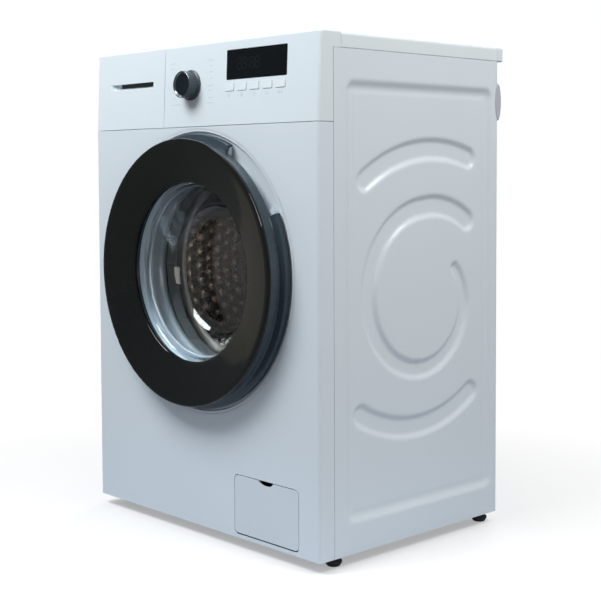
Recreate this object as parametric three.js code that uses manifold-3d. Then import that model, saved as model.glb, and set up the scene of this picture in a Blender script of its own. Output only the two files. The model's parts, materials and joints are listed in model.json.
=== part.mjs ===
// Front loading washing machine, about 6 kg, in millimetres, +Z up.
// X runs left to right as seen from the front, and Y runs from the front panel to the back.
// The origin lies on the floor, under the middle of the whole machine.
import * as THREE from 'three';
import { mergeVertices } from 'three/addons/utils/BufferGeometryUtils.js';
import Module from 'manifold-3d';

const wasm = await Module();
wasm.setup();

// ---------------------------------------------------------------- driving dimensions

// Cabinet. Depths are measured back from the plane of the front panel.
const cabinetWidth = 600;
const cabinetHeight = 850;
const cabinetDepth = 439;
const footHeight = 19;
const trayPanHeight = 30;
const trayPanWall = 2.5;
const sheet = 1.2;
const touch = 0.3;
const panelSeam = 0.8;
const cornerRadius = 7;
const frontWrap = 32;
const sheetFlange = 15;

// Worktop.
const worktopThickness = 27;
const worktopRearOverhang = 20;
const worktopCornerRadius = 7;
const worktopEdge = 2.5;
const braceBehindFascia = 6.5;
const braceWidth = 40;
const braceDepth = 10;
const braceSheet = 1.5;

// Fascia, which leans back, and its drawer front.
const fasciaHeight = 142;
const fasciaLean = 6.5;
const fasciaTopDepth = 49.5;
const fasciaWall = 2.5;
const drawerFrontWidth = 208;
const drawerFrontDepth = 20;
const pullWidth = 138;
const pullFromLeft = 36;
const pullHeight = 16;
const pullTop = 83;
const pullDepth = 13;
const pullFade = 26;
const pullCornerDrop = 12;
const pullCornerDepth = 8;

// Display, buttons and programme knob, placed on the face of the fascia.
const displayWidth = 148;
const displayHeight = 49;
const displayMiddle = 151;
const displayBottom = 75;
const windowThickness = 2.2;
const buttonCount = 5;
const buttonWidth = 23;
const buttonHeight = 12;
const buttonPitch = 31.4;
const buttonMiddleHeight = 62.5;
const buttonProud = 1;
const buttonTravel = 1.2;
const knobFromMiddle = -16.7;
const knobMiddleHeight = 71;
const knobRadius = 23;
const knobSkirtRadius = 26;
const knobProud = 22.5;
const knobFluteCount = 20;
const spindleRadius = 4;
const boardDepth = 17;
const boardThickness = 1.6;
const boardLeft = -42;
const boardRight = 245;
const boardBottom = 38;
const boardMargin = 7;

// Detergent drawer and its housing.
const trayLength = 200;
const trayWidth = 178;
const trayHeight = 60;
const trayWall = 2;
const trayGap = 3;
const housingWall = 2.5;
const housingRoof = 16;

// Door. Radii are about the drum's axis.
const dishRadius = 240;
const dishBelowFascia = 8;
const dishWidth = 69;
const dishStep = 4;
const dishDepth = 12;
const portDepth = 26;
const doorRimGap = 5;
const doorFlangeWidth = 13;
const doorFlangeFront = 10;
const doorRingOverhang = 5.6;
const doorRingThickness = 5;
const doorFront = 40;
const doorWindowFront = 22;
const doorWindowInset = 18;
const doorFrameWall = 3;
const glassThickness = 4;
const glassDepth = 74;
const glassInset = 22;
const glassTaper = 37;
const gripFrom = 30;
const gripTo = 66;
const hingeInset = 16;
const hingeFromFront = 20;
const hingePinRadius = 4;
const hingeHeight = 96;
const hookInset = 37;
const hookPinDepth = 1.5;
const lockWidth = 42;

// Filter flap and drain pump.
const flapWidth = 158;
const flapHeight = 100;
const flapFromLeft = 394;
const flapFromFloor = 26;
const flapThickness = 2.5;
const flapCorner = 9;
const flapPinAbove = 9;
const flapNotchWidth = 36;
const pumpFromMiddle = 173;
const pumpHeight = 72;
const pumpFront = 16;
const pumpChamberRadius = 26;
const pumpLength = 114;
const pumpMotorRadius = 24;
const pumpMotorLength = 48;
const pumpNeckTop = 128;
const hoseFromMiddle = 160;
const hoseNeck = 20;

// Tub, drum and drive.
const tubRadius = 258;
const tubWall = 4;
const tubFlange = 6;
const tubBehindPort = 52;
const tubBehindRear = 72;
const tubFrontLength = 122;
const tubMouthInset = 3;
const drumGap = 18;
const drumSheet = 1.5;
const drumBehindTub = 14;
const drumRearGap = 34;
const drumMouthInset = 8;
const lifterHeight = 52;
const lifterHalfBase = 30;
const shaftRadius = 12.5;
const pulleyRadius = 138;
const pulleyBehindTub = 32;
const pulleyWidth = 16;
const pulleyWindowCount = 6;
const motorPulleyRadius = 10;
const beltThickness = 4;
const beltWidth = 12;
const motorRadius = 55;
const motorLength = 138;
const motorBelowTub = 32;
const motorLugHeight = 12;
const motorLugWidth = 52;
const motorLugLength = 44;
const weightRim = 10;
const weightInnerRim = 12;
const weightThickness = 30;

// Suspension.
const springInset = 43;
const springBeforeDrumBack = 33;
const springRadius = 10;
const springWire = 1.8;
const springTurns = 5;
const springBelowTop = 27;
const springEarHeight = 37.4;
const damperFromMiddle = 150;
const damperBeforeDrumBack = 83;
const damperRadius = 16;
const damperRodRadius = 10;
const damperRodShowing = 46;
const damperLugHeight = 14;

// Feet.
const footRadius = 14;
const footFromMiddle = 275;
const footFromFront = 54;
const footFromRear = 16;
const footTravel = 12;
const studRadius = 5;

// Stampings of the side panels.
const pressDepth = 5;
const recessFrontMargin = 26;
const recessRearMargin = 10;
const recessBottomMargin = 47;
const recessTopMargin = 46;
const recessCorner = 20;
const recessSlope = 13;
const bandSlope = 9;
const bandWidth = 42;
const swirlBelowAxis = 40;

// Round facets, from the largest and most visible rounds to small hidden ones.
const doorFacets = 28;
const drumFacets = 24;
const tubFacets = 20;
const smallFacets = 10;
const tinyFacets = 8;

// ---------------------------------------------------------------- derived places

const halfWidth = cabinetWidth / 2;
const fasciaBottom = cabinetHeight - fasciaHeight;
const worktopBottom = cabinetHeight - worktopThickness;
const sheetRear = cabinetDepth - sheet - touch;
const leanAngle = Math.atan2(fasciaLean, fasciaHeight);
const baseFloor = footHeight + sheet + touch;
const footRearDepth = cabinetDepth - footFromRear;

const drawerSeam = -halfWidth + drawerFrontWidth;
const trayMiddle = -halfWidth + sheetFlange + touch + housingWall + trayGap + trayWidth / 2;
const trayFloor = fasciaBottom + 19;
const housingFront = drawerFrontDepth + panelSeam + fasciaWall + touch;
const housingFloor = trayFloor - trayGap - housingWall;
const housingTop = trayFloor + trayHeight + trayGap + housingRoof;

const axisHeight = fasciaBottom - dishBelowFascia - dishRadius;
const portRadius = dishRadius - dishWidth;
const doorFrameRadius = dishRadius - doorRimGap;
const doorBandRadius = doorFrameRadius - doorFlangeWidth;
const doorRadius = doorBandRadius + doorRingOverhang;
const doorWindowRadius = portRadius - doorWindowInset;
const glassMouthRadius = portRadius - glassInset;
const glassEndRadius = glassMouthRadius - glassTaper;
const hingeFromMiddle = dishRadius - hingeInset;
const hookFromMiddle = dishRadius - hookInset;

const tubFront = portDepth + tubBehindPort;
const tubBack = cabinetDepth - tubBehindRear;
const tubSplit = tubFront + tubFrontLength;
const tubMouthRadius = portRadius - tubMouthInset;
const drumRadius = tubRadius - tubWall - drumGap;
const drumFront = tubFront + drumBehindTub;
const drumBack = tubBack - drumRearGap;
const drumMouthRadius = tubMouthRadius - drumMouthInset;
const pulleyFront = tubBack + pulleyBehindTub;
const motorHeight = axisHeight - tubRadius - motorBelowTub - motorRadius;
const weightRadius = tubRadius - weightRim;
const weightInnerRadius = tubMouthRadius + weightInnerRim;

// Height of the tub's underside below the axis, or of its top above it, at a place across.
const tubRise = (across) => Math.sqrt(tubRadius ** 2 - across ** 2);
const springFromMiddle = tubRadius - springInset;
const springDepth = drumBack - springBeforeDrumBack;
const springTop = worktopBottom - springBelowTop;
const springBottom = axisHeight + tubRise(springFromMiddle) + springEarHeight;
const damperDepth = drumBack - damperBeforeDrumBack;
const damperLugBottom = axisHeight - tubRise(damperFromMiddle) - damperLugHeight;
const damperTop = damperLugBottom - damperRodShowing;
const hoseDepth = tubFront + 26;
const tubNeckBottom = axisHeight - tubRise(hoseFromMiddle) - 1.5 * hoseNeck;

// ---------------------------------------------------------------- shaping helpers

// Closed solid of a three.js geometry: welded, without its collapsed triangles.
function solid(geometry) {
  const bare = new THREE.BufferGeometry();
  bare.setAttribute('position', geometry.getAttribute('position'));
  bare.setIndex(geometry.getIndex());
  const welded = mergeVertices(bare, 1e-3);
  const corners = welded.getIndex().array;
  const kept = [];
  for (let i = 0; i < corners.length; i += 3) {
    const [a, b, c] = [corners[i], corners[i + 1], corners[i + 2]];
    if (a !== b && b !== c && c !== a) kept.push(a, b, c);
  }
  const vertProperties = Float32Array.from(welded.getAttribute('position').array);
  const triVerts = Uint32Array.from(kept);
  return new wasm.Manifold(new wasm.Mesh({ numProp: 3, vertProperties, triVerts }));
}

function join(first, ...others) {
  return others.reduce((whole, other) => whole.add(other), first);
}

function cut(first, ...tools) {
  return tools.reduce((rest, tool) => rest.subtract(tool), first);
}

// Moves made to a tool or a blank before it is joined or cut.
const moved = (x, y, z) => new THREE.Matrix4().makeTranslation(x, y, z);
const aboutAxis = moved(0, 0, axisHeight);
const onFascia = moved(0, 0, fasciaBottom).multiply(new THREE.Matrix4().makeRotationX(-leanAngle));
const turnedY = (angle) => new THREE.Matrix4().makeRotationY(angle);

function place(geometry, matrix) {
  return solid(matrix ? geometry.applyMatrix4(matrix) : geometry);
}

function box(x, y, z, matrix) {
  const [x0, x1] = [Math.min(...x), Math.max(...x)];
  const [y0, y1] = [Math.min(...y), Math.max(...y)];
  const [z0, z1] = [Math.min(...z), Math.max(...z)];
  const geometry = new THREE.BoxGeometry(x1 - x0, y1 - y0, z1 - z0);
  geometry.translate((x0 + x1) / 2, (y0 + y1) / 2, (z0 + z1) / 2);
  return place(geometry, matrix);
}

const flat = { bevelEnabled: false, curveSegments: 4 };

// Outline seen from the front, in X and Z, pulled from one depth to another.
function frontProfile(shape, from, to, matrix, options = flat) {
  const geometry = new THREE.ExtrudeGeometry(shape, { ...options, depth: to - from });
  geometry.rotateX(Math.PI / 2);
  geometry.translate(0, to, 0);
  return place(geometry, matrix);
}

// Outline seen from the side, in Y and Z, pulled across the width.
function sideProfile(shape, from, to, matrix, options = flat) {
  const geometry = new THREE.ExtrudeGeometry(shape, { ...options, depth: to - from });
  const axes = [new THREE.Vector3(0, 1, 0), new THREE.Vector3(0, 0, 1), new THREE.Vector3(1, 0, 0)];
  geometry.applyMatrix4(new THREE.Matrix4().makeBasis(...axes));
  geometry.translate(from, 0, 0);
  return place(geometry, matrix);
}

// Outline seen from above, in X and Y, pulled upwards.
function planProfile(shape, from, to, matrix, options = flat) {
  const geometry = new THREE.ExtrudeGeometry(shape, { ...options, depth: to - from });
  geometry.translate(0, 0, from);
  return place(geometry, matrix);
}

function outline(points) {
  return new THREE.Shape(points.map(([x, y]) => new THREE.Vector2(x, y)));
}

function roundedRect(x0, x1, y0, y1, radius) {
  const shape = new THREE.Shape();
  shape.moveTo(x0 + radius, y0);
  shape.lineTo(x1 - radius, y0);
  shape.absarc(x1 - radius, y0 + radius, radius, -Math.PI / 2, 0);
  shape.lineTo(x1, y1 - radius);
  shape.absarc(x1 - radius, y1 - radius, radius, 0, Math.PI / 2);
  shape.lineTo(x0 + radius, y1);
  shape.absarc(x0 + radius, y1 - radius, radius, Math.PI / 2, Math.PI);
  shape.lineTo(x0, y0 + radius);
  shape.absarc(x0 + radius, y0 + radius, radius, Math.PI, Math.PI * 1.5);
  return shape;
}

// Two circles, the larger above the smaller, with the tangents that join them.
function eggOutline(topRadius, topHeight, bottomRadius, bottomHeight, segments = 16) {
  const tilt = Math.asin((topRadius - bottomRadius) / (topHeight - bottomHeight));
  const points = [];
  for (let i = 0; i <= segments; i += 1) {
    const angle = -tilt + (Math.PI + 2 * tilt) * (i / segments);
    points.push([topRadius * Math.cos(angle), topHeight + topRadius * Math.sin(angle)]);
  }
  for (let i = 0; i <= segments / 2; i += 1) {
    const angle = Math.PI + tilt + (Math.PI - 2 * tilt) * (i / (segments / 2));
    points.push([bottomRadius * Math.cos(angle), bottomHeight + bottomRadius * Math.sin(angle)]);
  }
  return outline(points);
}

// Round piece about the Y axis, from a closed profile of [radius, depth] points.
function turned(profile, facets, matrix) {
  const points = profile.map(([radius, depth]) => new THREE.Vector2(Math.max(radius, 0), depth));
  if (THREE.ShapeUtils.area(points) < 0) points.reverse();
  points.push(points[0].clone());
  return place(new THREE.LatheGeometry(points, facets), matrix);
}

const upright = new THREE.Matrix4().makeRotationX(Math.PI / 2);

// Round piece about a vertical axis, from [radius, height] points.
function turnedUpright(profile, facets, x, y) {
  return turned(profile, facets, moved(x, y, 0).multiply(upright));
}

function rod(radius, from, to, facets, matrix) {
  return turned([[0, from], [radius, from], [radius, to], [0, to]], facets, matrix);
}

function uprightRod(radius, from, to, facets, x, y) {
  return turnedUpright([[0, from], [radius, from], [radius, to], [0, to]], facets, x, y);
}

// Radius of a faceted hole whose flats still clear a round piece.
function clearOf(radius, facets) {
  return (radius + touch) / Math.cos(Math.PI / facets);
}

// Open line of points given a wall on its left side, as the closed profile of a shell.
function walled(path, wall) {
  const normal = (a, b) => {
    const length = Math.hypot(b[0] - a[0], b[1] - a[1]);
    return [-(b[1] - a[1]) / length, (b[0] - a[0]) / length];
  };
  const last = path.length - 1;
  const far = path.map((point, i) => {
    const before = normal(path[Math.max(i - 1, 0)], path[Math.max(i, 1)]);
    const after = normal(path[Math.min(i, last - 1)], path[Math.min(i + 1, last)]);
    const sum = [before[0] + after[0], before[1] + after[1]];
    const length = Math.hypot(...sum);
    const reach = wall / ((sum[0] * before[0] + sum[1] * before[1]) / length);
    return [point[0] + (sum[0] / length) * reach, point[1] + (sum[1] / length) * reach];
  });
  return [...path, ...far.reverse()];
}

// ---------------------------------------------------------------- stamped cabinet panels

// Outline of a stamped band: a strip along a curve, with round ends.
function bandOutline(curve, reachAt, steps = 6) {
  const left = [];
  const right = [];
  const heading = (t) => {
    const [a, b] = [curve(Math.max(t - 0.01, 0)), curve(Math.min(t + 0.01, 1))];
    return Math.atan2(b[1] - a[1], b[0] - a[0]);
  };
  for (let i = 0; i <= steps; i += 1) {
    const t = i / steps;
    const [x, y] = curve(t);
    const side = heading(t) + Math.PI / 2;
    const reach = reachAt(t);
    left.push([x + reach * Math.cos(side), y + reach * Math.sin(side)]);
    right.push([x - reach * Math.cos(side), y - reach * Math.sin(side)]);
  }
  const cap = (t, turn) => [1, 2, 3].map((i) => {
    const angle = heading(t) + turn + (Math.PI * i) / 4;
    const [x, y] = curve(t);
    return [x + reachAt(t) * Math.cos(angle), y + reachAt(t) * Math.sin(angle)];
  });
  return outline([...right, ...cap(1, -Math.PI / 2), ...left.reverse(), ...cap(0, Math.PI / 2)]);
}

function arcCurve(y, z, radius, fromDegrees, toDegrees) {
  return (t) => {
    const angle = ((fromDegrees + (toDegrees - fromDegrees) * t) * Math.PI) / 180;
    return [y + radius * Math.cos(angle), z + radius * Math.sin(angle)];
  };
}

// The pressing fills the panel between its margins, and the bands are drawn in shares of its depth.
const recessFront = frontWrap + panelSeam + recessFrontMargin;
const recessRear = sheetRear - recessRearMargin;
const recessSpan = recessRear - recessFront;
const swirlDepth = recessFront + 0.52 * recessSpan;
const swirlHeight = axisHeight - swirlBelowAxis;

// The swirl winds inwards from its top right end, quickly at first and then slowly.
const swirlShares = [0.456, 0.407, 0.382, 0.361, 0.344, 0.331, 0.312, 0.29, 0.25];
const swirlAngles = [48, 90, 135, 180, 225, 270, 310, 350, 388];

function swirlCurve(t) {
  const step = t * (swirlShares.length - 1);
  const index = Math.min(Math.floor(step), swirlShares.length - 2);
  const part = step - index;
  const radius = recessSpan * THREE.MathUtils.lerp(swirlShares[index], swirlShares[index + 1], part);
  const angle = (THREE.MathUtils.lerp(swirlAngles[index], swirlAngles[index + 1], part) * Math.PI) / 180;
  return [swirlDepth + radius * Math.cos(angle), swirlHeight + radius * Math.sin(angle)];
}

const upperArc = arcCurve(swirlDepth + 0.065 * recessSpan, swirlHeight - 0.138 * recessSpan,
  0.808 * recessSpan, 124, 72);
const lowerArc = arcCurve(swirlDepth - 0.054 * recessSpan, swirlHeight + 0.122 * recessSpan,
  0.711 * recessSpan, -120, -57);
const sideBands = [
  bandOutline(upperArc, () => bandWidth / 2),
  bandOutline(swirlCurve, (t) => (bandWidth / 2) * (1 - 0.35 * t * t), 14),
  bandOutline(lowerArc, () => bandWidth / 2),
];

// Presses an outline into a flat sheet whose outer face lies at depth `face` below the panel plane.
// `side` is +1 for the right panel and -1 for the left one.
function pressedSide(panel, shape, side, face, slope) {
  const plane = side * (halfWidth - face);
  const ends = [plane, plane + side * 3 * pressDepth];
  const tool = (grow, depth) => sideProfile(shape, Math.min(...ends), Math.max(...ends), null,
    { bevelSize: slope, bevelOffset: grow - slope, bevelThickness: depth, bevelSegments: 1,
      curveSegments: 4 });
  const inside = box([0, plane], [-50, cabinetDepth + 50], [0, cabinetHeight]);
  return panel.add(tool(sheet, pressDepth + sheet).intersect(inside)).subtract(tool(0, pressDepth));
}

// Oval wall spacer at the rear edge of the right side, and the notch that it sits in.
const spacerBelowTop = 71;
const spacerHeight = worktopBottom - spacerBelowTop;
const spacerHalfHeight = 33.5;
const spacerHalfDepth = 9.5;
const spacerMiddleDepth = cabinetDepth + 4.5;
const spacerWidth = 37;
const spacerFacets = 10;

function spacerOutline(grow) {
  const shape = new THREE.Shape();
  shape.absellipse(spacerMiddleDepth, spacerHeight, spacerHalfDepth + grow, spacerHalfHeight + grow,
    0, 2 * Math.PI);
  return shape;
}

function spacerNotch(grow) {
  return sideProfile(spacerOutline(grow), halfWidth - spacerWidth - grow, halfWidth + 1, null,
    { ...flat, curveSegments: spacerFacets });
}

function sidePanel(side) {
  const front = frontWrap + panelSeam;
  const top = worktopBottom - touch;
  const outer = box([side * (halfWidth - sheetFlange), side * halfWidth], [front, sheetRear],
    [footHeight, top]);
  const hollow = box([side * (halfWidth - 2 * sheetFlange), side * (halfWidth - sheet)],
    [front + sheet, sheetRear - sheet], [footHeight + sheet, top - sheet]);
  let panel = outer.subtract(hollow);
  const recess = roundedRect(recessFront, recessRear, footHeight + recessBottomMargin,
    top - recessTopMargin, recessCorner);
  panel = pressedSide(panel, recess, side, 0, recessSlope);
  for (const band of sideBands) panel = pressedSide(panel, band, side, pressDepth, bandSlope);
  const bracket = box([side * (springFromMiddle - springRadius - 4), side * (halfWidth - sheet / 2)],
    [springDepth - 8, springDepth + 8], [springTop, springTop + 8]);
  panel = panel.add(bracket);
  return side > 0 ? panel.subtract(spacerNotch(panelSeam)) : panel;
}

// Front panel: a folded sheet with a dish and a port for the door, and an opening for the flap.
const flapLeft = -halfWidth + flapFromLeft;
const flapRight = flapLeft + flapWidth;
const flapTop = flapFromFloor + flapHeight;
const flapPinHeight = flapFromFloor + flapPinAbove;
const flapPinDepth = 3.4;
const flapPinRadius = 1.5;
const hookSlotHalfHeight = 10;

function frontPanelPlan(inset, depth) {
  const radius = cornerRadius - inset;
  const reach = halfWidth - inset;
  const shape = new THREE.Shape();
  shape.moveTo(reach, depth);
  shape.lineTo(-reach, depth);
  shape.lineTo(-reach, inset + radius);
  shape.absarc(-reach + radius, inset + radius, radius, Math.PI, Math.PI * 1.5);
  shape.lineTo(reach - radius, inset);
  shape.absarc(reach - radius, inset + radius, radius, -Math.PI / 2, 0);
  return shape;
}

function dishPan() {
  const path = [
    [dishRadius + 4, 0],
    [dishRadius, 0],
    [dishRadius - 3, dishStep],
    [portRadius + 11, dishDepth],
    [portRadius + 4, dishDepth + 4],
    [portRadius, dishDepth + 9],
    [portRadius, portDepth],
  ];
  return turned(walled(path, -sheet), doorFacets, aboutAxis);
}

function frontPanel() {
  const top = fasciaBottom - panelSeam / 2;
  const outer = planProfile(frontPanelPlan(0, frontWrap), footHeight, top);
  const hollow = planProfile(frontPanelPlan(sheet, frontWrap + 1), footHeight + sheet, top - sheet);
  const lipDepth = 14;
  const openBack = box([-halfWidth + sheet, halfWidth - sheet], [lipDepth, frontWrap + 1],
    [0, cabinetHeight]);
  const portHole = rod(dishRadius, -1, sheet + 1, doorFacets, aboutAxis);
  const panel = join(cut(outer, hollow, openBack, portHole), dishPan());
  const flapHole = frontProfile(roundedRect(flapLeft, flapRight, flapFromFloor, flapTop, flapCorner),
    -1, sheet + 1);
  const slot = box([hookFromMiddle - 9, hookFromMiddle + 13], [-1, dishDepth + 6],
    [axisHeight - hookSlotHalfHeight, axisHeight + hookSlotHalfHeight]);
  const tab = (x) => cut(
    box([x, x + sheet], [sheet / 2, 9], [flapPinHeight - 6, flapPinHeight + 6]),
    sideProfile(circle(flapPinDepth, flapPinHeight, flapPinRadius + touch), x - 1, x + sheet + 1),
  );
  return join(cut(panel, flapHole, slot), tab(flapLeft - 2 * sheet), tab(flapRight + sheet));
}

function circle(x, y, radius) {
  const shape = new THREE.Shape();
  shape.absarc(x, y, radius, 0, 2 * Math.PI);
  return shape;
}

// Rear panel with its service opening, and holes for the water, the drain and the mains lead.
const serviceTopRadius = 160;
const serviceBottomRadius = 92;
const serviceBottomHeight = motorHeight + 15;
const serviceLap = 12;
const valveFromMiddle = -150;
const valveBelowTop = 38;
const valveHeight = worktopBottom - valveBelowTop;
const valveDepth = 59;
const valveFront = cabinetDepth - valveDepth;
const valveThreadRadius = 13;
const drainFromMiddle = 235;
const drainBelowTop = 203;
const drainHeight = worktopBottom - drainBelowTop;
const drainRadius = 14;
const glandFromMiddle = -250;
const glandHeight = 90;
const glandRadius = 9;
const transitFromMiddle = 205;
const transitHoleRadius = 12;

function rearPanel() {
  const rear = [cabinetDepth - sheet, cabinetDepth];
  const plate = box([-halfWidth, halfWidth], rear, [footHeight, worktopBottom - touch]);
  const hole = (x, z, radius) => rod(radius, cabinetDepth - 3, cabinetDepth + 3, smallFacets,
    moved(x, 0, z));
  const service = frontProfile(
    eggOutline(serviceTopRadius, axisHeight, serviceBottomRadius, serviceBottomHeight),
    cabinetDepth - 3, cabinetDepth + 3,
  );
  const transit = [-1, 1].flatMap((side) => [-1, 1].map((level) => hole(
    side * transitFromMiddle, axisHeight + level * 140, transitHoleRadius)));
  return cut(plate, service, ...transit, spacerNotch(panelSeam),
    hole(valveFromMiddle, valveHeight, valveThreadRadius + touch),
    hole(drainFromMiddle, drainHeight, drainRadius + touch),
    hole(glandFromMiddle, glandHeight, glandRadius + touch));
}

// Cover over the belt, pressed outwards, lapping the rear panel all round.
function serviceCover() {
  const near = cabinetDepth + touch;
  const rise = 8;
  const egg = (grow) => eggOutline(serviceTopRadius + grow, axisHeight,
    serviceBottomRadius + grow, serviceBottomHeight);
  const bevel = (size) => ({ bevelSize: size, bevelOffset: -size, bevelThickness: rise, bevelSegments: 1 });
  const behind = box([-halfWidth, halfWidth], [near, near + 2 * rise], [0, cabinetHeight]);
  const dome = frontProfile(egg(0), near - rise, near, null, bevel(14)).intersect(behind);
  const core = frontProfile(egg(-sheet), near - rise - sheet, near - sheet, null, bevel(14));
  const lip = frontProfile(egg(serviceLap), near, near + sheet);
  return cut(join(dome, lip), core);
}

// Base: a shallow tray with a lip that rests on the folds of the side panels, and four foot bosses.
function baseTray() {
  const reach = halfWidth - sheetFlange - touch;
  const front = sheet + touch;
  const rear = cabinetDepth - sheet - touch;
  const floor = baseFloor;
  const height = trayPanHeight;
  const wall = trayPanWall;
  const pan = cut(
    box([-reach, reach], [front, rear], [floor, floor + height]),
    box([-reach + wall, reach - wall], [front + wall, rear - wall], [floor + wall, floor + height + 1]),
  );
  const lips = [-1, 1].map((side) => box([side * (reach - 1), side * (halfWidth - sheet - touch)],
    [frontWrap + panelSeam + sheet + touch, sheetRear - sheet - touch], [floor, floor + wall]));
  const feet = [-1, 1].flatMap((side) =>
    [footFromFront, footRearDepth].map((y) => [side * footFromMiddle, y]));
  const post = (radius, past) => ([x, y]) =>
    uprightRod(radius, floor - past, floor + height + past, tinyFacets, x, y);
  const bosses = feet.map(post(footRadius - 3, 0));
  const bores = feet.map(post(clearOf(studRadius, tinyFacets), 5));
  const ribs = [-90, 60].map((x) => box([x - 1.5, x + 1.5], [front + 1, rear - 1], [floor + 1, floor + 12]));
  const flapRoom = box([flapLeft - 8, flapRight + 8], [0, 14], [floor + wall, floor + height + 1]);
  return cut(join(pan, ...lips, ...bosses, ...ribs), flapRoom, ...bores);
}

function topBrace() {
  const span = halfWidth - sheet - touch;
  const top = worktopBottom - touch - sheet - touch;
  const front = fasciaTopDepth + braceBehindFascia;
  const back = front + braceWidth;
  const bottom = top - braceDepth;
  const channel = outline([
    [front, bottom],
    [front, top],
    [back, top],
    [back, bottom],
    [back - braceSheet, bottom],
    [back - braceSheet, top - braceSheet],
    [front + braceSheet, top - braceSheet],
    [front + braceSheet, bottom],
  ]);
  return sideProfile(channel, -span, span);
}

function worktop() {
  const front = fasciaTopDepth + panelSeam / 2;
  const rear = cabinetDepth + worktopRearOverhang;
  const shape = new THREE.Shape();
  shape.moveTo(-halfWidth, front);
  shape.lineTo(halfWidth, front);
  shape.lineTo(halfWidth, rear - worktopCornerRadius);
  shape.absarc(halfWidth - worktopCornerRadius, rear - worktopCornerRadius, worktopCornerRadius,
    0, Math.PI / 2);
  shape.lineTo(-halfWidth + worktopCornerRadius, rear);
  shape.absarc(-halfWidth + worktopCornerRadius, rear - worktopCornerRadius, worktopCornerRadius,
    Math.PI / 2, Math.PI);
  const edge = { bevelSize: worktopEdge, bevelOffset: -worktopEdge, bevelThickness: worktopEdge,
    bevelSegments: 2 };
  return planProfile(shape, worktopBottom + worktopEdge, cabinetHeight - worktopEdge, null,
    { ...edge, curveSegments: 4 });
}

// ---------------------------------------------------------------- fascia and controls

// Solid block of the fascia, leaning back, with round front edges; inset gives its hollow.
function fasciaBlock(inset) {
  const bottom = fasciaBottom + panelSeam / 2 + inset;
  const top = cabinetHeight - inset;
  const crown = 10;
  const far = fasciaTopDepth + 20;
  const shape = new THREE.Shape();
  shape.moveTo(inset, bottom - 20);
  shape.lineTo(inset, bottom);
  shape.lineTo(inset + fasciaLean, top - crown);
  shape.quadraticCurveTo(inset + fasciaLean + 1, top, inset + fasciaLean + crown, top);
  shape.lineTo(far, top);
  shape.lineTo(far, bottom - 20);
  const radius = cornerRadius - inset;
  const reach = halfWidth - inset;
  const bevel = { bevelSize: radius, bevelOffset: -radius, bevelThickness: radius, bevelSegments: 3 };
  const block = sideProfile(shape, -reach + radius, reach - radius, null, { ...bevel, curveSegments: 4 });
  const room = box([-reach, reach], [-1, inset ? far : fasciaTopDepth], [bottom, cabinetHeight]);
  const step = box([-reach, reach], [frontWrap, far + 1], [bottom - 30, worktopBottom]);
  return inset ? block.intersect(room) : cut(block.intersect(room), step);
}

const pullLeft = -halfWidth + pullFromLeft;
const pullRight = pullLeft + pullWidth;

// Wedge shaped finger pull: its floor slopes in and up, its roof rises behind the front's lip, and
// its left end fades out in a slanted facet that reaches lower.
function pullWedge(grow) {
  const top = fasciaBottom + pullTop;
  const lip = fasciaLean * (pullTop / fasciaHeight) + fasciaWall;
  const floorFront = top - pullHeight;
  const shape = outline([
    [-3, floorFront - 1 - grow],
    [0, floorFront - grow],
    [pullDepth + grow, top - pullHeight / 2 - grow],
    [pullDepth + grow, top + 6 + grow],
    [lip, top + 6 + grow],
    [lip, top + grow],
    [-3, top + grow],
  ]);
  const wedge = sideProfile(shape, pullLeft - grow, pullRight + grow);
  const fade = planProfile(outline([
    [pullLeft - grow - 1, -4], [pullLeft - grow, 0],
    [pullLeft + pullFade - grow, pullDepth + grow], [pullLeft - grow - 1, pullDepth + grow + 1],
  ]), fasciaBottom, cabinetHeight);
  const cornerFoot = floorFront - pullCornerDrop;
  const cornerEnd = pullLeft + pullFade + grow;
  const corner = wasm.Manifold.hull([
    [pullLeft - grow, -3, top + grow],
    [pullLeft - grow, 0, top + grow],
    [pullLeft - grow, -3, cornerFoot - grow],
    [pullLeft - grow, grow, cornerFoot - grow],
    [cornerEnd, -3, top + grow],
    [cornerEnd, -3, floorFront - grow],
    [cornerEnd, pullCornerDepth + grow, top + grow],
    [cornerEnd, pullCornerDepth + grow, top - grow],
  ]);
  return wedge.subtract(fade).add(corner);
}

function fasciaShell() {
  return fasciaBlock(0).subtract(fasciaBlock(fasciaWall));
}

function drawerFront() {
  const left = box([-halfWidth - 1, drawerSeam - panelSeam / 2], [-5, drawerFrontDepth],
    [0, cabinetHeight + 1]);
  const end = box([drawerSeam - panelSeam / 2 - fasciaWall, drawerSeam - panelSeam / 2],
    [0, drawerFrontDepth], [0, cabinetHeight]);
  const blank = join(fasciaShell().intersect(left), fasciaBlock(0).intersect(end));
  const pocket = pullWedge(fasciaWall - 0.5).intersect(fasciaBlock(0));
  return cut(join(blank, pocket), pullWedge(0));
}

const trayLeft = trayMiddle - trayWidth / 2;
const trayRight = trayMiddle + trayWidth / 2;

function displayOpening(grow, from, to) {
  const x0 = displayMiddle - displayWidth / 2 - grow;
  const shape = roundedRect(x0, x0 + displayWidth + 2 * grow, displayBottom - grow,
    displayBottom + displayHeight + grow, 1.5 + grow);
  return frontProfile(shape, from, to, onFascia, { ...flat, curveSegments: 2 });
}

function buttonX(index) {
  return displayMiddle - 3 + (index - (buttonCount - 1) / 2) * buttonPitch;
}

function buttonOutline(index, grow) {
  const x = buttonX(index);
  return roundedRect(x - buttonWidth / 2 - grow, x + buttonWidth / 2 + grow,
    buttonMiddleHeight - buttonHeight / 2 - grow, buttonMiddleHeight + buttonHeight / 2 + grow, 1.5 + grow);
}

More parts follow.
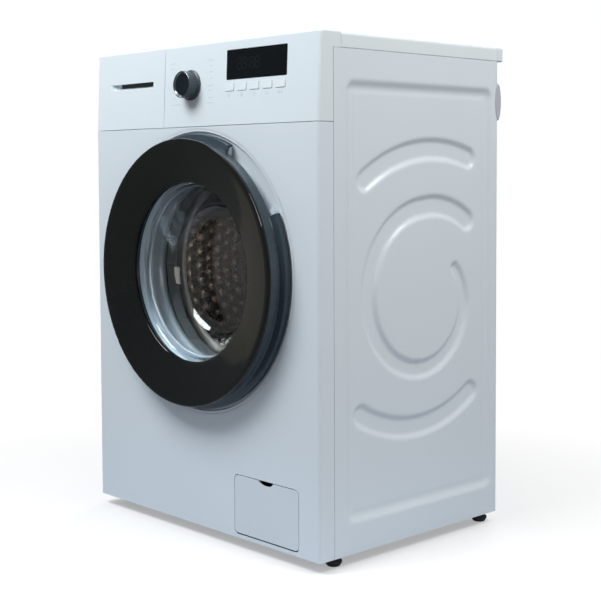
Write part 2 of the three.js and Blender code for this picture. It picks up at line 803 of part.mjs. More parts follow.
function controlPanel() {
  const rightPart = box([drawerSeam + panelSeam / 2, halfWidth + 1], [-5, fasciaTopDepth + 1],
    [0, cabinetHeight + 1]);
  const behind = box([-halfWidth - 1, halfWidth + 1], [drawerFrontDepth + panelSeam, fasciaTopDepth + 1],
    [0, cabinetHeight + 1]);
  const shell = fasciaShell().intersect(join(rightPart, behind));
  const end = fasciaBlock(0).intersect(box(
    [drawerSeam + panelSeam / 2, drawerSeam + panelSeam / 2 + fasciaWall],
    [0, drawerFrontDepth + panelSeam + 1], [0, cabinetHeight]));
  const bulkhead = fasciaBlock(0).intersect(box([-halfWidth, drawerSeam + panelSeam / 2 + fasciaWall],
    [drawerFrontDepth + panelSeam, drawerFrontDepth + panelSeam + fasciaWall], [0, cabinetHeight]));
  const mouth = box([trayLeft - trayGap, trayRight + trayGap], [0, fasciaTopDepth],
    [trayFloor - trayGap, trayFloor + trayHeight + trayGap]);
  const postHeights = [boardBottom + boardMargin, displayBottom + displayHeight];
  const postPlaces = [boardLeft + boardMargin, boardRight - boardMargin]
    .flatMap((x) => postHeights.map((z) => [x, z]));
  const posts = postPlaces.map(([x, z]) => rod(4, fasciaWall / 2, boardDepth - touch, tinyFacets,
    onFascia.clone().multiply(moved(x, 0, z))));
  const spindleHole = rod(clearOf(spindleRadius, tinyFacets), -5, fasciaWall + 5, tinyFacets,
    onFascia.clone().multiply(moved(knobFromMiddle, 0, knobMiddleHeight)));
  const buttonHoles = Array.from({ length: buttonCount }, (_, index) => frontProfile(
    buttonOutline(index, touch), -5, fasciaWall + 5, onFascia, { ...flat, curveSegments: 2 }));
  return cut(join(shell, end, bulkhead, ...posts), mouth, spindleHole, ...buttonHoles,
    displayOpening(touch, -5, fasciaWall + 5));
}

// Everything below is placed by the leaning fascia group: Y runs into the face, Z up along it.
function displayWindow() {
  const shape = roundedRect(displayMiddle - displayWidth / 2, displayMiddle + displayWidth / 2,
    displayBottom, displayBottom + displayHeight, 1.5);
  return frontProfile(shape, 0.2, 0.2 + windowThickness, null, { ...flat, curveSegments: 2 });
}

function button(index) {
  const back = boardDepth - 3 - buttonTravel - touch;
  const x = buttonX(index);
  const cap = frontProfile(buttonOutline(index, 0), -buttonProud, fasciaWall + touch + 0.5, null,
    { ...flat, curveSegments: 2 });
  const flange = box([x - buttonWidth / 2 - 1.6, x + buttonWidth / 2 + 1.6],
    [fasciaWall + touch, fasciaWall + touch + 1.4],
    [buttonMiddleHeight - buttonHeight / 2 - 1.6, buttonMiddleHeight + buttonHeight / 2 + 1.6]);
  const stem = rod(2.5, fasciaWall + 1, back, tinyFacets, moved(x, 0, buttonMiddleHeight));
  return join(cap, flange, stem);
}

// Circuit board with the display block, a switch under each button and the selector's encoder.
function controlBoard() {
  const board = box([boardLeft, boardRight], [boardDepth, boardDepth + boardThickness],
    [boardBottom, displayBottom + displayHeight + boardMargin + 1]);
  const block = box([displayMiddle - displayWidth / 2 - 1, displayMiddle + displayWidth / 2 + 1],
    [fasciaWall + 1, boardDepth + 1],
    [displayBottom + 1, displayBottom + displayHeight - 1]);
  const switches = Array.from({ length: buttonCount }, (_, index) => rod(3, boardDepth - 3, boardDepth + 1,
    tinyFacets, moved(buttonX(index), 0, buttonMiddleHeight)));
  const encoder = rod(9, 7, boardDepth + 1, smallFacets, moved(knobFromMiddle, 0, knobMiddleHeight));
  const socket = rod(clearOf(spindleRadius, tinyFacets), 6, boardDepth - 2, tinyFacets,
    moved(knobFromMiddle, 0, knobMiddleHeight));
  return cut(join(board, block, ...switches, encoder), socket);
}

function programKnob() {
  const front = -knobProud;
  const profile = [
    [0, front + 2],
    [knobRadius - 4.5, front + 2],
    [knobRadius - 2.5, front],
    [knobRadius - 1, front],
    [knobRadius, front + 1.5],
    [knobRadius, -4],
    [knobSkirtRadius, -3.2],
    [knobSkirtRadius, -touch],
    [spindleRadius, -touch],
    [spindleRadius, boardDepth - 3],
    [0, boardDepth - 3],
  ];
  const flute = (index) => {
    const angle = (2 * Math.PI * index) / knobFluteCount;
    const x = (knobRadius + 0.5) * Math.cos(angle);
    const z = (knobRadius + 0.5) * Math.sin(angle);
    return rod(1.2, front + 3, -5.5, 4, moved(x, 0, z));
  };
  const flutes = Array.from({ length: knobFluteCount }, (_, index) => flute(index));
  return cut(turned(profile, knobFluteCount), ...flutes);
}

// ---------------------------------------------------------------- detergent drawer

function drawerTray() {
  const front = housingFront;
  const back = housingFront + trayLength;
  const plateFront = pullDepth + fasciaWall - 0.5 + touch;
  const plate = box([-halfWidth + fasciaWall + 4, drawerSeam - fasciaWall - 4],
    [plateFront, drawerFrontDepth - touch], [trayFloor - 6, trayFloor + trayHeight + 6]);
  const trough = box([trayLeft, trayRight], [plateFront + 1, back], [trayFloor, trayFloor + trayHeight]);
  const mainRight = trayLeft + 0.46 * trayWidth;
  const softenerRight = trayLeft + 0.7 * trayWidth;
  const bays = [[trayLeft, mainRight], [mainRight, softenerRight], [softenerRight, trayRight]];
  const hollows = bays.map(([x0, x1], index) => box([x0 + trayWall, x1 - trayWall],
    [front + trayWall, back - trayWall - (index === 1 ? 50 : 0)],
    [trayFloor + trayWall, trayFloor + trayHeight + 1]));
  const drop = box([trayLeft + trayWall, trayRight - trayWall], [back - 12, back + 1],
    [trayFloor + 0.6 * trayHeight, trayFloor + trayHeight + 1]);
  return cut(join(plate, trough), ...hollows, drop);
}

function dispenserHousing() {
  const side = trayGap + housingWall;
  const back = housingFront + trayLength + 14;
  const outer = box([trayLeft - side, trayRight + side], [housingFront, back], [housingFloor, housingTop]);
  const cavity = box([trayLeft - trayGap, trayRight + trayGap], [housingFront - 1, back - housingWall],
    [trayFloor - trayGap, trayFloor + trayHeight + trayGap]);
  const runners = [trayLeft + 8, trayRight - 8].map((x) => box([x - 2, x + 2],
    [housingFront, back - 1], [trayFloor - trayGap - 1, trayFloor - touch]));
  const spout = uprightRod(14, housingFloor - 12, housingFloor + 1, smallFacets, trayMiddle, back - 24);
  const spoutBore = uprightRod(11, housingFloor - 13, housingFloor + 5, smallFacets, trayMiddle, back - 24);
  const inlet = rod(7, back - 1, valveFront - touch, tinyFacets, moved(valveFromMiddle, 0, housingTop - 9));
  return join(cut(join(outer, spout), cavity, spoutBore), ...runners, inlet);
}

// ---------------------------------------------------------------- rear fittings

function inletValve() {
  const body = box([valveFromMiddle - 24, valveFromMiddle + 24], [valveFront, cabinetDepth - sheet - touch],
    [valveHeight - 24, valveHeight + 20]);
  const coil = rod(13, valveFront - 20, valveFront + 1, smallFacets,
    moved(valveFromMiddle - 36, 0, valveHeight - 8));
  const bridge = box([valveFromMiddle - 40, valveFromMiddle - 20], [valveFront - 4, valveFront + 24],
    [valveHeight - 18, valveHeight + 2]);
  const thread = rod(valveThreadRadius, cabinetDepth - 4, cabinetDepth + 13, smallFacets,
    moved(valveFromMiddle, 0, valveHeight));
  const bore = rod(valveThreadRadius - 4, cabinetDepth, cabinetDepth + 14, tinyFacets,
    moved(valveFromMiddle, 0, valveHeight));
  return cut(join(body, coil, bridge, thread), bore);
}

function wallSpacer() {
  const bevel = { bevelSize: 2, bevelOffset: -2, bevelThickness: 2, bevelSegments: 1,
    curveSegments: spacerFacets };
  return sideProfile(spacerOutline(0), halfWidth - spacerWidth + 2, halfWidth - 2 - touch, null, bevel);
}

// Spigot for the drain hose: an inner collar, a neck through the panel and a barbed end.
function drainPort() {
  const rear = cabinetDepth;
  const profile = [
    [drainRadius - 3, rear - 22],
    [drainRadius, rear - 22],
    [drainRadius, rear - sheet - touch - 3],
    [drainRadius + 6, rear - sheet - touch - 3],
    [drainRadius + 6, rear - sheet - touch],
    [drainRadius, rear - sheet - touch],
    [drainRadius, rear + 5],
    [drainRadius + 1.2, rear + 6],
    [drainRadius - 1, rear + 14],
    [drainRadius - 3, rear + 14],
  ];
  return turned(profile, smallFacets, moved(drainFromMiddle, 0, drainHeight));
}

function cableGland() {
  const rear = cabinetDepth;
  const profile = [
    [glandRadius - 4, rear - 14],
    [glandRadius, rear - 14],
    [glandRadius, rear - sheet - touch - 3],
    [glandRadius + 4, rear - sheet - touch - 3],
    [glandRadius + 4, rear - sheet - touch],
    [glandRadius, rear - sheet - touch],
    [glandRadius, rear + touch],
    [glandRadius + 4, rear + touch],
    [glandRadius + 4, rear + 4],
    [glandRadius, rear + 9],
    [glandRadius - 4, rear + 9],
  ];
  return turned(profile, smallFacets, moved(glandFromMiddle, 0, glandHeight));
}

// Levelling foot: a rubber pad and lock nut on a stud that screws up into the base.
function foot() {
  const nutTop = baseFloor - touch;
  const pad = turnedUpright([
    [0, 0],
    [footRadius - 3.5, 0],
    [footRadius, 5],
    [footRadius, 9],
    [footRadius - 4, 12],
    [studRadius, 12],
    [studRadius, baseFloor + 27],
    [0, baseFloor + 27],
  ], smallFacets, 0, 0);
  const nut = uprightRod(9, 13, nutTop, 6, 0, 0);
  return pad.add(nut);
}

// ---------------------------------------------------------------- filter flap and drain pump

function filterFlap() {
  const gap = panelSeam;
  const bottom = flapFromFloor + 1.5;
  const face = roundedRect(flapLeft + gap, flapRight - gap, bottom, flapTop - gap, flapCorner - 1);
  const plate = frontProfile(face, 0, flapThickness);
  const notch = new THREE.Shape();
  const middle = (flapLeft + flapRight) / 2;
  notch.absellipse(middle, flapTop, flapNotchWidth / 2, 8, 0, 2 * Math.PI);
  const hole = frontProfile(notch, -1, flapThickness + 1, null, { ...flat, curveSegments: 8 });
  const barrel = sideProfile(circle(flapPinDepth, flapPinHeight, flapPinRadius), flapLeft - 3 * sheet,
    flapRight + 3 * sheet, null, { ...flat, curveSegments: 3 });
  const ribs = [0.12, 0.88].map((share) => {
    const x = flapLeft + share * flapWidth;
    return box([x - 1, x + 1], [flapThickness - 0.5, flapThickness + 3], [flapPinHeight, flapTop - 20]);
  });
  return join(cut(plate, hole), barrel, ...ribs);
}

function pumpHousing() {
  const at = moved(pumpFromMiddle, 0, pumpHeight);
  const back = pumpFront + pumpLength;
  const shell = pumpChamberRadius + 3;
  const body = turned([
    [0, pumpFront],
    [shell + 3, pumpFront],
    [shell + 3, pumpFront + 5],
    [shell, pumpFront + 5],
    [shell, back],
    [0, back],
  ], smallFacets, at);
  const chamber = rod(pumpChamberRadius, pumpFront - 1, back - 4, smallFacets, at);
  const motorBody = rod(pumpMotorRadius, back - 1, back + pumpMotorLength, smallFacets, at);
  const neck = uprightRod(hoseNeck, pumpHeight + 10, pumpNeckTop, smallFacets, hoseFromMiddle, hoseDepth);
  const neckBore = uprightRod(hoseNeck - 3, pumpHeight, pumpNeckTop + 1, smallFacets,
    hoseFromMiddle, hoseDepth);
  const saddle = (y) => box([pumpFromMiddle - 22, pumpFromMiddle + 22], [y, y + 8],
    [baseFloor + trayPanWall + touch, pumpHeight - 10]);
  return cut(join(body, motorBody, neck, saddle(pumpFront + 24), saddle(back - 14)), chamber, neckBore);
}

// Turning filter plug with its grip bar and a slotted strainer basket.
function filterCap() {
  const clear = pumpChamberRadius * Math.cos(Math.PI / smallFacets) - touch;
  const basket = clear - 6;
  const [plugBack, basketBack] = [pumpFront + 20, pumpFront + 0.6 * pumpLength];
  const plug = turned([
    [0, pumpFront - 7],
    [pumpChamberRadius + 4, pumpFront - 7],
    [pumpChamberRadius + 5, pumpFront - 5],
    [pumpChamberRadius + 5, pumpFront - touch],
    [clear, pumpFront - touch],
    [clear, plugBack],
    [basket, plugBack],
    [basket, basketBack],
    [basket - 3, basketBack],
    [basket - 3, plugBack - 4],
    [0, plugBack - 4],
  ], smallFacets);
  const slots = [0, Math.PI / 2].map((angle) => box([-4, 4], [plugBack + 8, basketBack - 6],
    [-basket - 4, basket + 4], turnedY(angle)));
  const bar = box([-3, 3], [pumpFront - 11.5, pumpFront - 6], [-19, 19]);
  return join(cut(plug, ...slots), bar);
}

// ---------------------------------------------------------------- door
// The door, tub, drum and drive are built about the drum's axis, which is the local Y axis.

// Depth of the dish's face at a radius.
function dishFace(radius) {
  const outer = dishRadius - 3;
  const inner = portRadius + 11;
  return dishStep + ((outer - radius) / (outer - inner)) * (dishDepth - dishStep);
}

// Back face of the conical front ring at a radius.
function ringBack(radius) {
  const rise = (doorFront - doorWindowFront) / (doorRadius - 6.5 - doorWindowRadius - 3);
  return -doorWindowFront + doorRingThickness - (radius - doorWindowRadius) * rise;
}

function doorRing() {
  return turned([
    [doorRadius, -doorFront + 6],
    [doorRadius, -doorFront + 2],
    [doorRadius - 2, -doorFront],
    [doorRadius - 6.5, -doorFront + 0.5],
    [doorWindowRadius + 3, -doorWindowFront - 1],
    [doorWindowRadius, -doorWindowFront + 0.8],
    [doorWindowRadius, ringBack(doorWindowRadius)],
    [doorBandRadius - 5, ringBack(doorBandRadius - 5)],
    [doorBandRadius - 5, -doorFront + 6],
  ], doorFacets);
}

// Prism that covers a sector of the round, between two angles in degrees and out from a radius.
function sector(fromDegrees, toDegrees, inner, outer, near, far) {
  const shape = new THREE.Shape();
  const [from, to] = [(fromDegrees * Math.PI) / 180, (toDegrees * Math.PI) / 180];
  shape.absarc(0, 0, outer, from, to, false);
  shape.absarc(0, 0, inner, to, from, true);
  return frontProfile(shape, near, far, null, { ...flat, curveSegments: 8 });
}

const hingeNotchHalf = hingeHeight / 2 + 4;

function hingeNotch(inner) {
  return box([-dishRadius, -inner], [-doorFront + 11, dishStep + 2], [-hingeNotchHalf, hingeNotchHalf]);
}

// Moulded door frame: base flange, side band and cone in one shell, with the finger grip cut out.
function doorFrame() {
  const gap = touch;
  const path = [
    [doorFrameRadius, 1],
    [doorFrameRadius, -doorFlangeFront + 1.5],
    [doorFrameRadius - 2, -doorFlangeFront],
    [doorBandRadius, -doorFlangeFront - 2],
    [doorBandRadius - 1, -doorFront + 6 + gap],
    [doorBandRadius - 6, -doorFront + 6 + gap],
    [doorWindowRadius + 4, ringBack(doorWindowRadius + 4) + gap],
    [doorWindowRadius + 4, -8 - gap],
  ];
  const shell = turned(walled(path, -doorFrameWall), doorFacets);
  const grip = sector(gripFrom, gripTo, doorBandRadius - 0.5, doorFrameRadius + 3, -doorFlangeFront - 3, 4);
  return cut(shell, grip, hingeNotch(hingeFromMiddle - 18));
}

// Glass bowl: a flange behind the frame, a tapering wall and a shallow domed end.
function doorGlass() {
  const taper = glassMouthRadius - glassEndRadius;
  const path = [
    [glassMouthRadius + 27, -8],
    [glassMouthRadius + 3, -8],
    [glassMouthRadius, -4],
    [glassMouthRadius - taper * 0.47, glassDepth * 0.52],
    [glassMouthRadius - taper * 0.8, glassDepth * 0.82],
    [glassEndRadius - 6, glassDepth - 5],
    [0, glassDepth],
  ];
  return turned(walled(path, -glassThickness), drumFacets);
}

const innerRingOuter = doorFrameRadius - doorFrameWall - touch;

// Inner ring: clamps the glass from behind, and carries the hinge barrel and the latch hook.
function doorInnerRing() {
  const clamp = glassMouthRadius + 19;
  const ring = turned([
    [clamp, -8 + glassThickness + touch],
    [clamp + 12, -8 + glassThickness + touch],
    [clamp + 12, -1],
    [doorBandRadius, -4.5],
    [innerRingOuter, -4.5],
    [innerRingOuter, 0.5],
    [doorBandRadius, dishFace(doorBandRadius) - 3],
    [clamp + 14, dishFace(clamp + 14) - 3],
    [clamp, 8.5],
  ], doorFacets);
  const grip = sector(gripFrom, gripTo, doorBandRadius - 14, doorFrameRadius + 3, -8, 8);
  const barrelHalf = hingeHeight / 2 - 9;
  const barrel = uprightRod(hingePinRadius + 4, -barrelHalf, barrelHalf, smallFacets,
    -hingeFromMiddle, -hingeFromFront);
  const arm = box([-hingeFromMiddle, -hingeFromMiddle + 21], [-hingeFromFront - 4, -hingeFromFront + 5],
    [-barrelHalf + 6, barrelHalf - 6]);
  const foot = box([-hingeFromMiddle + 14, -hingeFromMiddle + 21], [-hingeFromFront, -2],
    [-barrelHalf + 6, barrelHalf - 6]);
  const bore = uprightRod(hingePinRadius + touch, -hingeHeight, hingeHeight, smallFacets,
    -hingeFromMiddle, -hingeFromFront);
  const slot = box([hookFromMiddle - 5, hookFromMiddle + 6], [-8, 12], [-6, 6]);
  const pinHole = uprightRod(1.8, -9.3, 9.3, tinyFacets, hookFromMiddle, hookPinDepth);
  const notched = cut(ring, grip, hingeNotch(hingeFromMiddle - 14.5));
  return cut(join(notched, barrel, arm, foot), bore, slot, pinHole);
}

// Hinge bracket: a plate on the front panel with two ears and the pin between them.
function doorHinge() {
  const half = hingeHeight / 2;
  const edge = Math.sqrt((dishRadius - 3.5) ** 2 - half ** 2);
  const back = dishFace(Math.hypot(edge, half)) - touch;
  const right = -hingeFromMiddle + 10;
  const plate = box([-edge, right], [back - 3, back], [-half, half]);
  const ears = [-1, 1].map((side) => box([-edge, -hingeFromMiddle + hingePinRadius + 4],
    [-hingeFromFront - hingePinRadius - 3, back], [side * (half - 8), side * half]));
  const pin = uprightRod(hingePinRadius, -half + 1, half - 1, smallFacets,
    -hingeFromMiddle, -hingeFromFront);
  return join(plate, ...ears, pin);
}

function latchHook() {
  const x = hookFromMiddle;
  const shape = outline([[x - 2.5, -1.5], [x + 2.5, -1.5], [x + 2.5, 24], [x, 27], [x - 7, 22], [x - 7, 20],
    [x - 2.5, 19]]);
  const pin = uprightRod(1.5, -9, 9, tinyFacets, x, hookPinDepth);
  return planProfile(shape, -5, 5).add(pin);
}

// Door lock behind the dish, with the pocket that the hook drops into.
function doorLock() {
  const left = hookFromMiddle - 16;
  const front = dishFace(left) + sheet + 2 * touch;
  const body = box([left, left + lockWidth], [front, front + 32], [-34, 34]);
  const pocket = box([hookFromMiddle - 10, hookFromMiddle + 14], [front - 1, front + 26], [-11, 11]);
  return body.subtract(pocket);
}

// ---------------------------------------------------------------- tub and its fittings

// Door seal: a lip on the glass, a bead in the port, a fold, and a cuff around the tub's mouth.
function gasket() {
  const cuff = tubMouthRadius + tubWall + touch + 3;
  const path = [
    [clearOf(glassMouthRadius - 1, tubFacets), 9],
    [portRadius - 8, 14],
    [portRadius - 1.5, 19],
    [portRadius - 1.5, portDepth + 2],
    [portRadius + 10, portDepth + 8],
    [portRadius - 8, portDepth + 18],
    [portRadius - 8, portDepth + 26],
    [cuff, portDepth + 30],
    [cuff, tubFront - 1],
  ];
  return turned(walled(path, 3), tubFacets);
}

const tubInner = tubRadius - tubWall;

function tubFrontHalf() {
  const mouthLength = 18;
  const shell = turned(walled([
    [tubMouthRadius, tubFront - mouthLength],
    [tubMouthRadius, tubFront + tubWall],
    [tubInner, tubFront + tubWall],
    [tubInner, tubSplit],
  ], -tubWall), tubFacets);
  const flange = turned([[tubInner + 1, tubSplit - tubFlange], [tubRadius + tubFlange, tubSplit - tubFlange],
    [tubRadius + tubFlange, tubSplit], [tubInner + 1, tubSplit]], tubFacets);
  const inside = rod(tubInner, tubFront + tubWall, tubSplit + 1, tubFacets);
  const neckBottom = tubNeckBottom - axisHeight;
  const wallBottom = -Math.sqrt(tubInner ** 2 - (hoseFromMiddle + hoseNeck) ** 2);
  const neck = uprightRod(hoseNeck, neckBottom, wallBottom, smallFacets, hoseFromMiddle, hoseDepth);
  const bore = uprightRod(hoseNeck - 3, neckBottom - 1, wallBottom + 10, smallFacets,
    hoseFromMiddle, hoseDepth);
  return cut(join(shell, flange, neck.subtract(inside)), bore);
}

const tubRibCount = 8;
const hubRadius = 34;
const hubBore = 25;
const hubFront = tubBack - 12;
const hubBack = tubBack + 27;
const heaterHalfWidth = 22;
const heaterRadius = 4.5;
const heaterDrop = drumRadius + 10;
const heaterFromFront = 72;
const heaterBend = 30;
const motorLugTop = motorHeight + motorRadius + motorLugHeight;
const motorFront = pulleyFront - 11 - motorLength;
const motorLugFront = motorFront + 8;

function tubRearHalf() {
  const shell = turned(walled([
    [tubInner, tubSplit + touch],
    [tubInner, tubBack - tubWall],
    [hubBore + 2, tubBack - tubWall],
  ], -tubWall), tubFacets);
  const flangeFront = tubSplit + touch;
  const flange = turned([[tubInner + 1, flangeFront], [tubRadius + tubFlange, flangeFront],
    [tubRadius + tubFlange, flangeFront + tubFlange], [tubInner + 1, flangeFront + tubFlange]], tubFacets);
  const hub = rod(hubRadius, hubFront, hubBack, smallFacets);
  const inside = rod(tubInner, tubSplit, tubBack - tubWall, tubFacets);
  const ribs = Array.from({ length: tubRibCount }, (_, index) => box([hubRadius - 3, tubRadius - 6],
    [tubBack - 1, tubBack + 9], [-1.5, 1.5], turnedY(((index + 0.5) * 2 * Math.PI) / tubRibCount)));
  const ears = [-1, 1].map((side) => box(
    [side * (springFromMiddle - 8), side * (springFromMiddle + 8)], [springDepth - 8, springDepth + 8],
    [0.4 * tubRadius, springBottom - touch - axisHeight]));
  const lugs = [-1, 1].map((side) => box(
    [side * (damperFromMiddle - 7), side * (damperFromMiddle + 7)], [damperDepth - 7, damperDepth + 7],
    [damperLugBottom - axisHeight, -0.6 * tubRadius]));
  const motorLug = box([-motorLugWidth / 2, motorLugWidth / 2],
    [motorLugFront, motorLugFront + motorLugLength], [motorLugTop - axisHeight, -0.8 * tubRadius]);
  const carried = join(ears[0], ears[1], ...lugs, motorLug).subtract(inside);
  const bearingBore = rod(hubBore, hubFront - 1, hubBack + 1, smallFacets);
  const heaterHoles = [-1, 1].map((side) => rod(clearOf(heaterRadius, tinyFacets),
    tubBack - 10, tubBack + 12, tinyFacets, moved(side * heaterHalfWidth, 0, -heaterDrop)));
  return cut(join(shell, flange, hub, ...ribs, carried), bearingBore, ...heaterHoles);
}

// Cast weight bolted to the front of the tub: most of a ring, open beside the door lock.
function counterweight() {
  const back = tubFront - touch;
  return sector(24, 336, weightInnerRadius, weightRadius, back - weightThickness, back);
}

// Heating element: a bent tube under the drum, with its clamping plate behind the tub.
function heater() {
  const turnDepth = tubFront + heaterFromFront;
  const path = new THREE.CurvePath();
  const at = (x, y) => new THREE.Vector3(x, y, -heaterDrop);
  const bendDepth = turnDepth - heaterBend;
  const bend = new THREE.CubicBezierCurve3(at(heaterHalfWidth, turnDepth), at(heaterHalfWidth, bendDepth),
    at(-heaterHalfWidth, bendDepth), at(-heaterHalfWidth, turnDepth));
  path.add(new THREE.LineCurve3(at(heaterHalfWidth, tubBack + 14), at(heaterHalfWidth, turnDepth)));
  path.add(bend);
  path.add(new THREE.LineCurve3(at(-heaterHalfWidth, turnDepth), at(-heaterHalfWidth, tubBack + 14)));
  const tube = new THREE.ExtrudeGeometry(circle(0, 0, heaterRadius),
    { steps: 12, bevelEnabled: false, extrudePath: path, curveSegments: 3 });
  const plate = box([-heaterHalfWidth - 12, heaterHalfWidth + 12], [tubBack + touch, tubBack + 5],
    [-heaterDrop - 10, -heaterDrop + 10]);
  return solid(tube).add(plate);
}

// ---------------------------------------------------------------- drum and drive

function drum() {
  const path = [
    [0, drumBack],
    [drumRadius - 12, drumBack],
    [drumRadius, drumBack - 12],
    [drumRadius, drumFront + 12],
    [drumRadius - 10, drumFront],
    [drumMouthRadius + 6, drumFront],
    [drumMouthRadius, drumFront + 8],
  ];
  return turned(walled(path, -drumSheet), drumFacets);
}

// Hollow paddle with sloping flanks and ends, built at the bottom of the drum.
function lifter() {
  const wall = (drumRadius - drumSheet) * Math.cos(Math.PI / drumFacets);
  const base = Math.sqrt((wall - touch) ** 2 - lifterHalfBase ** 2);
  const [front, back] = [drumFront + 14, drumBack - 14];
  const [shoulder, crest] = [-base + 0.75 * lifterHeight, -base + lifterHeight];
  const section = outline([[-lifterHalfBase, -base], [lifterHalfBase, -base], [15, shoulder],
    [7, crest], [-7, crest], [-15, shoulder]]);
  const ends = outline([[front, -base - 1], [back, -base - 1], [back - 16, -base + lifterHeight + 1],
    [front + 22, -base + lifterHeight + 1]]);
  return frontProfile(section, front, back).intersect(sideProfile(ends, -lifterHalfBase, lifterHalfBase));
}

// Three-armed spider with the drum shaft.
function spider() {
  const front = drumBack + touch;
  const arm = (index) => frontProfile(outline([[20, -17], [drumRadius - 16, -9], [drumRadius - 12, 0],
    [drumRadius - 16, 9], [20, 17]]), front, front + 14, turnedY((2 * Math.PI * index) / 3 + Math.PI / 6));
  const hub = rod(36, front, hubFront - 3, smallFacets);
  const shaft = turned([[0, hubFront - 4], [shaftRadius, hubFront - 4], [shaftRadius, hubBack + 1],
    [shaftRadius - 2, hubBack + 1], [shaftRadius - 2, pulleyFront + pulleyWidth + 8],
    [0, pulleyFront + pulleyWidth + 8]], smallFacets);
  return join(hub, shaft, arm(0), arm(1), arm(2));
}

// Bearing cartridge pressed into the tub's hub: two races with a spacer between them.
function bearingHub() {
  const inner = clearOf(shaftRadius, smallFacets);
  return turned([
    [inner, hubFront + 0.5],
    [hubBore - touch, hubFront + 0.5],
    [hubBore - touch, hubBack - 0.5],
    [inner, hubBack - 0.5],
  ], smallFacets);
}

function drumPulley() {
  const back = pulleyFront + pulleyWidth;
  const middle = pulleyFront + pulleyWidth / 2;
  const bore = shaftRadius - 2 + touch;
  const wheel = turned([
    [bore, hubBack + 1 + touch],
    [20, hubBack + 1 + touch],
    [20, middle - 2],
    [pulleyRadius - 8, middle - 2],
    [pulleyRadius - 8, pulleyFront],
    [pulleyRadius, pulleyFront],
    [pulleyRadius, back],
    [pulleyRadius - 8, back],
    [pulleyRadius - 8, middle + 2],
    [20, middle + 2],
    [20, back + 4],
    [bore, back + 4],
  ], tubFacets);
  const reach = 0.565 * pulleyRadius;
  const window = (index) => {
    const angle = (index * 2 * Math.PI) / pulleyWindowCount;
    return rod(0.22 * pulleyRadius, pulleyFront, back, tinyFacets,
      moved(reach * Math.cos(angle), 0, reach * Math.sin(angle)));
  };
  return cut(wheel, ...Array.from({ length: pulleyWindowCount }, (_, index) => window(index)));
}

// Flat belt around both pulleys, just clear of their rims.
function belt() {
  const drop = motorHeight - axisHeight;
  const start = pulleyFront + (pulleyWidth - beltWidth) / 2;
  const segments = 18;
  const clear = touch + 0.8;
  const band = (grow) => eggOutline(pulleyRadius + clear + grow, 0,
    motorPulleyRadius + clear + grow, drop, segments);
  return frontProfile(band(beltThickness), start, start + beltWidth)
    .subtract(frontProfile(band(0), start - 1, start + beltWidth + 1));
}

const motorBack = motorFront + motorLength;

function motor() {
  const drop = motorHeight - axisHeight;
  const at = moved(0, 0, drop);
  const body = turned([
    [0, motorFront],
    [motorRadius - 12, motorFront],
    [motorRadius, motorFront + 10],
    [motorRadius, motorBack - 22],
    [motorRadius - 12, motorBack - 10],
    [14, motorBack - 10],
    [14, motorBack],
    [0, motorBack],
  ], smallFacets, at);
  const lug = box([6 - motorLugWidth / 2, motorLugWidth / 2 - 6],
    [motorLugFront + 4, motorLugFront + motorLugLength - 4],
    [drop + motorRadius - 8, motorLugTop - touch - axisHeight]);
  const bore = rod(6, motorBack - 18, motorBack + 1, tinyFacets, at);
  return cut(join(body, lug), bore);
}

// Motor pulley on the end of the rotor's shaft.
function motorPulley() {
  const start = pulleyFront + (pulleyWidth - beltWidth) / 2 - 1;
  const end = start + beltWidth + 2;
  return turned([
    [0, motorBack - 16],
    [5.5, motorBack - 16],
    [5.5, start - 2.5],
    [13, start - 2.5],
    [13, start - 0.5],
    [motorPulleyRadius, start],
    [motorPulleyRadius, end],
    [13, end + 0.5],
    [13, end + 2.5],
    [0, end + 2.5],
  ], smallFacets);
}

// ---------------------------------------------------------------- suspension and sump hose

// Wire of a coil spring: straight tails on the axis and a coil between them.
class SpringWire extends THREE.Curve {
  getPoint(t, target = new THREE.Vector3()) {
    const tail = 0.1;
    const coil = THREE.MathUtils.clamp((t - tail) / (1 - 2 * tail), 0, 1);
    const ramp = Math.min(1, Math.min(coil, 1 - coil) * springTurns * 2);
    const angle = coil * springTurns * 2 * Math.PI;
    const height = THREE.MathUtils.lerp(springBottom, springTop - touch, t);
    return target.set(ramp * springRadius * Math.cos(angle), ramp * springRadius * Math.sin(angle), height);
  }
}

function spring() {
  const wire = circle(0, 0, springWire);
  return solid(new THREE.ExtrudeGeometry(wire,
    { steps: 5 * springTurns, bevelEnabled: false, extrudePath: new SpringWire(), curveSegments: 3 }));
}

const damperFoot = baseFloor + trayPanWall + touch;

function damperCylinder() {
  const bore = damperRodRadius + touch;
  return turnedUpright([[0, damperFoot], [damperRadius - 4, damperFoot], [damperRadius - 4, damperFoot + 12],
    [damperRadius, damperFoot + 16], [damperRadius, damperTop], [bore, damperTop], [bore, damperFoot + 40],
    [0, damperFoot + 40]], smallFacets, 0, 0);
}

function damperRod() {
  const top = damperLugBottom - touch;
  const bottom = damperTop - 75;
  return turnedUpright([[0, bottom], [damperRodRadius, bottom], [damperRodRadius, top - 20],
    [damperRodRadius + 3, top - 18], [damperRodRadius + 3, top], [0, top]], smallFacets, 0, 0);
}

function sumpHose() {
  const inner = hoseNeck + touch;
  const folds = 3;
  const pitch = (tubNeckBottom - pumpNeckTop - 8) / folds;
  const path = [[inner, pumpNeckTop - 16], [inner, pumpNeckTop + 4]];
  for (let i = 0; i < folds; i += 1) {
    path.push([inner + 5, pumpNeckTop + 4 + (i + 0.5) * pitch]);
    path.push([inner, pumpNeckTop + 4 + (i + 1) * pitch]);
  }
  path.push([inner, tubNeckBottom + 11]);
  return turnedUpright(walled(path, -2), smallFacets, 0, 0);
}

// ---------------------------------------------------------------- colours and assembly

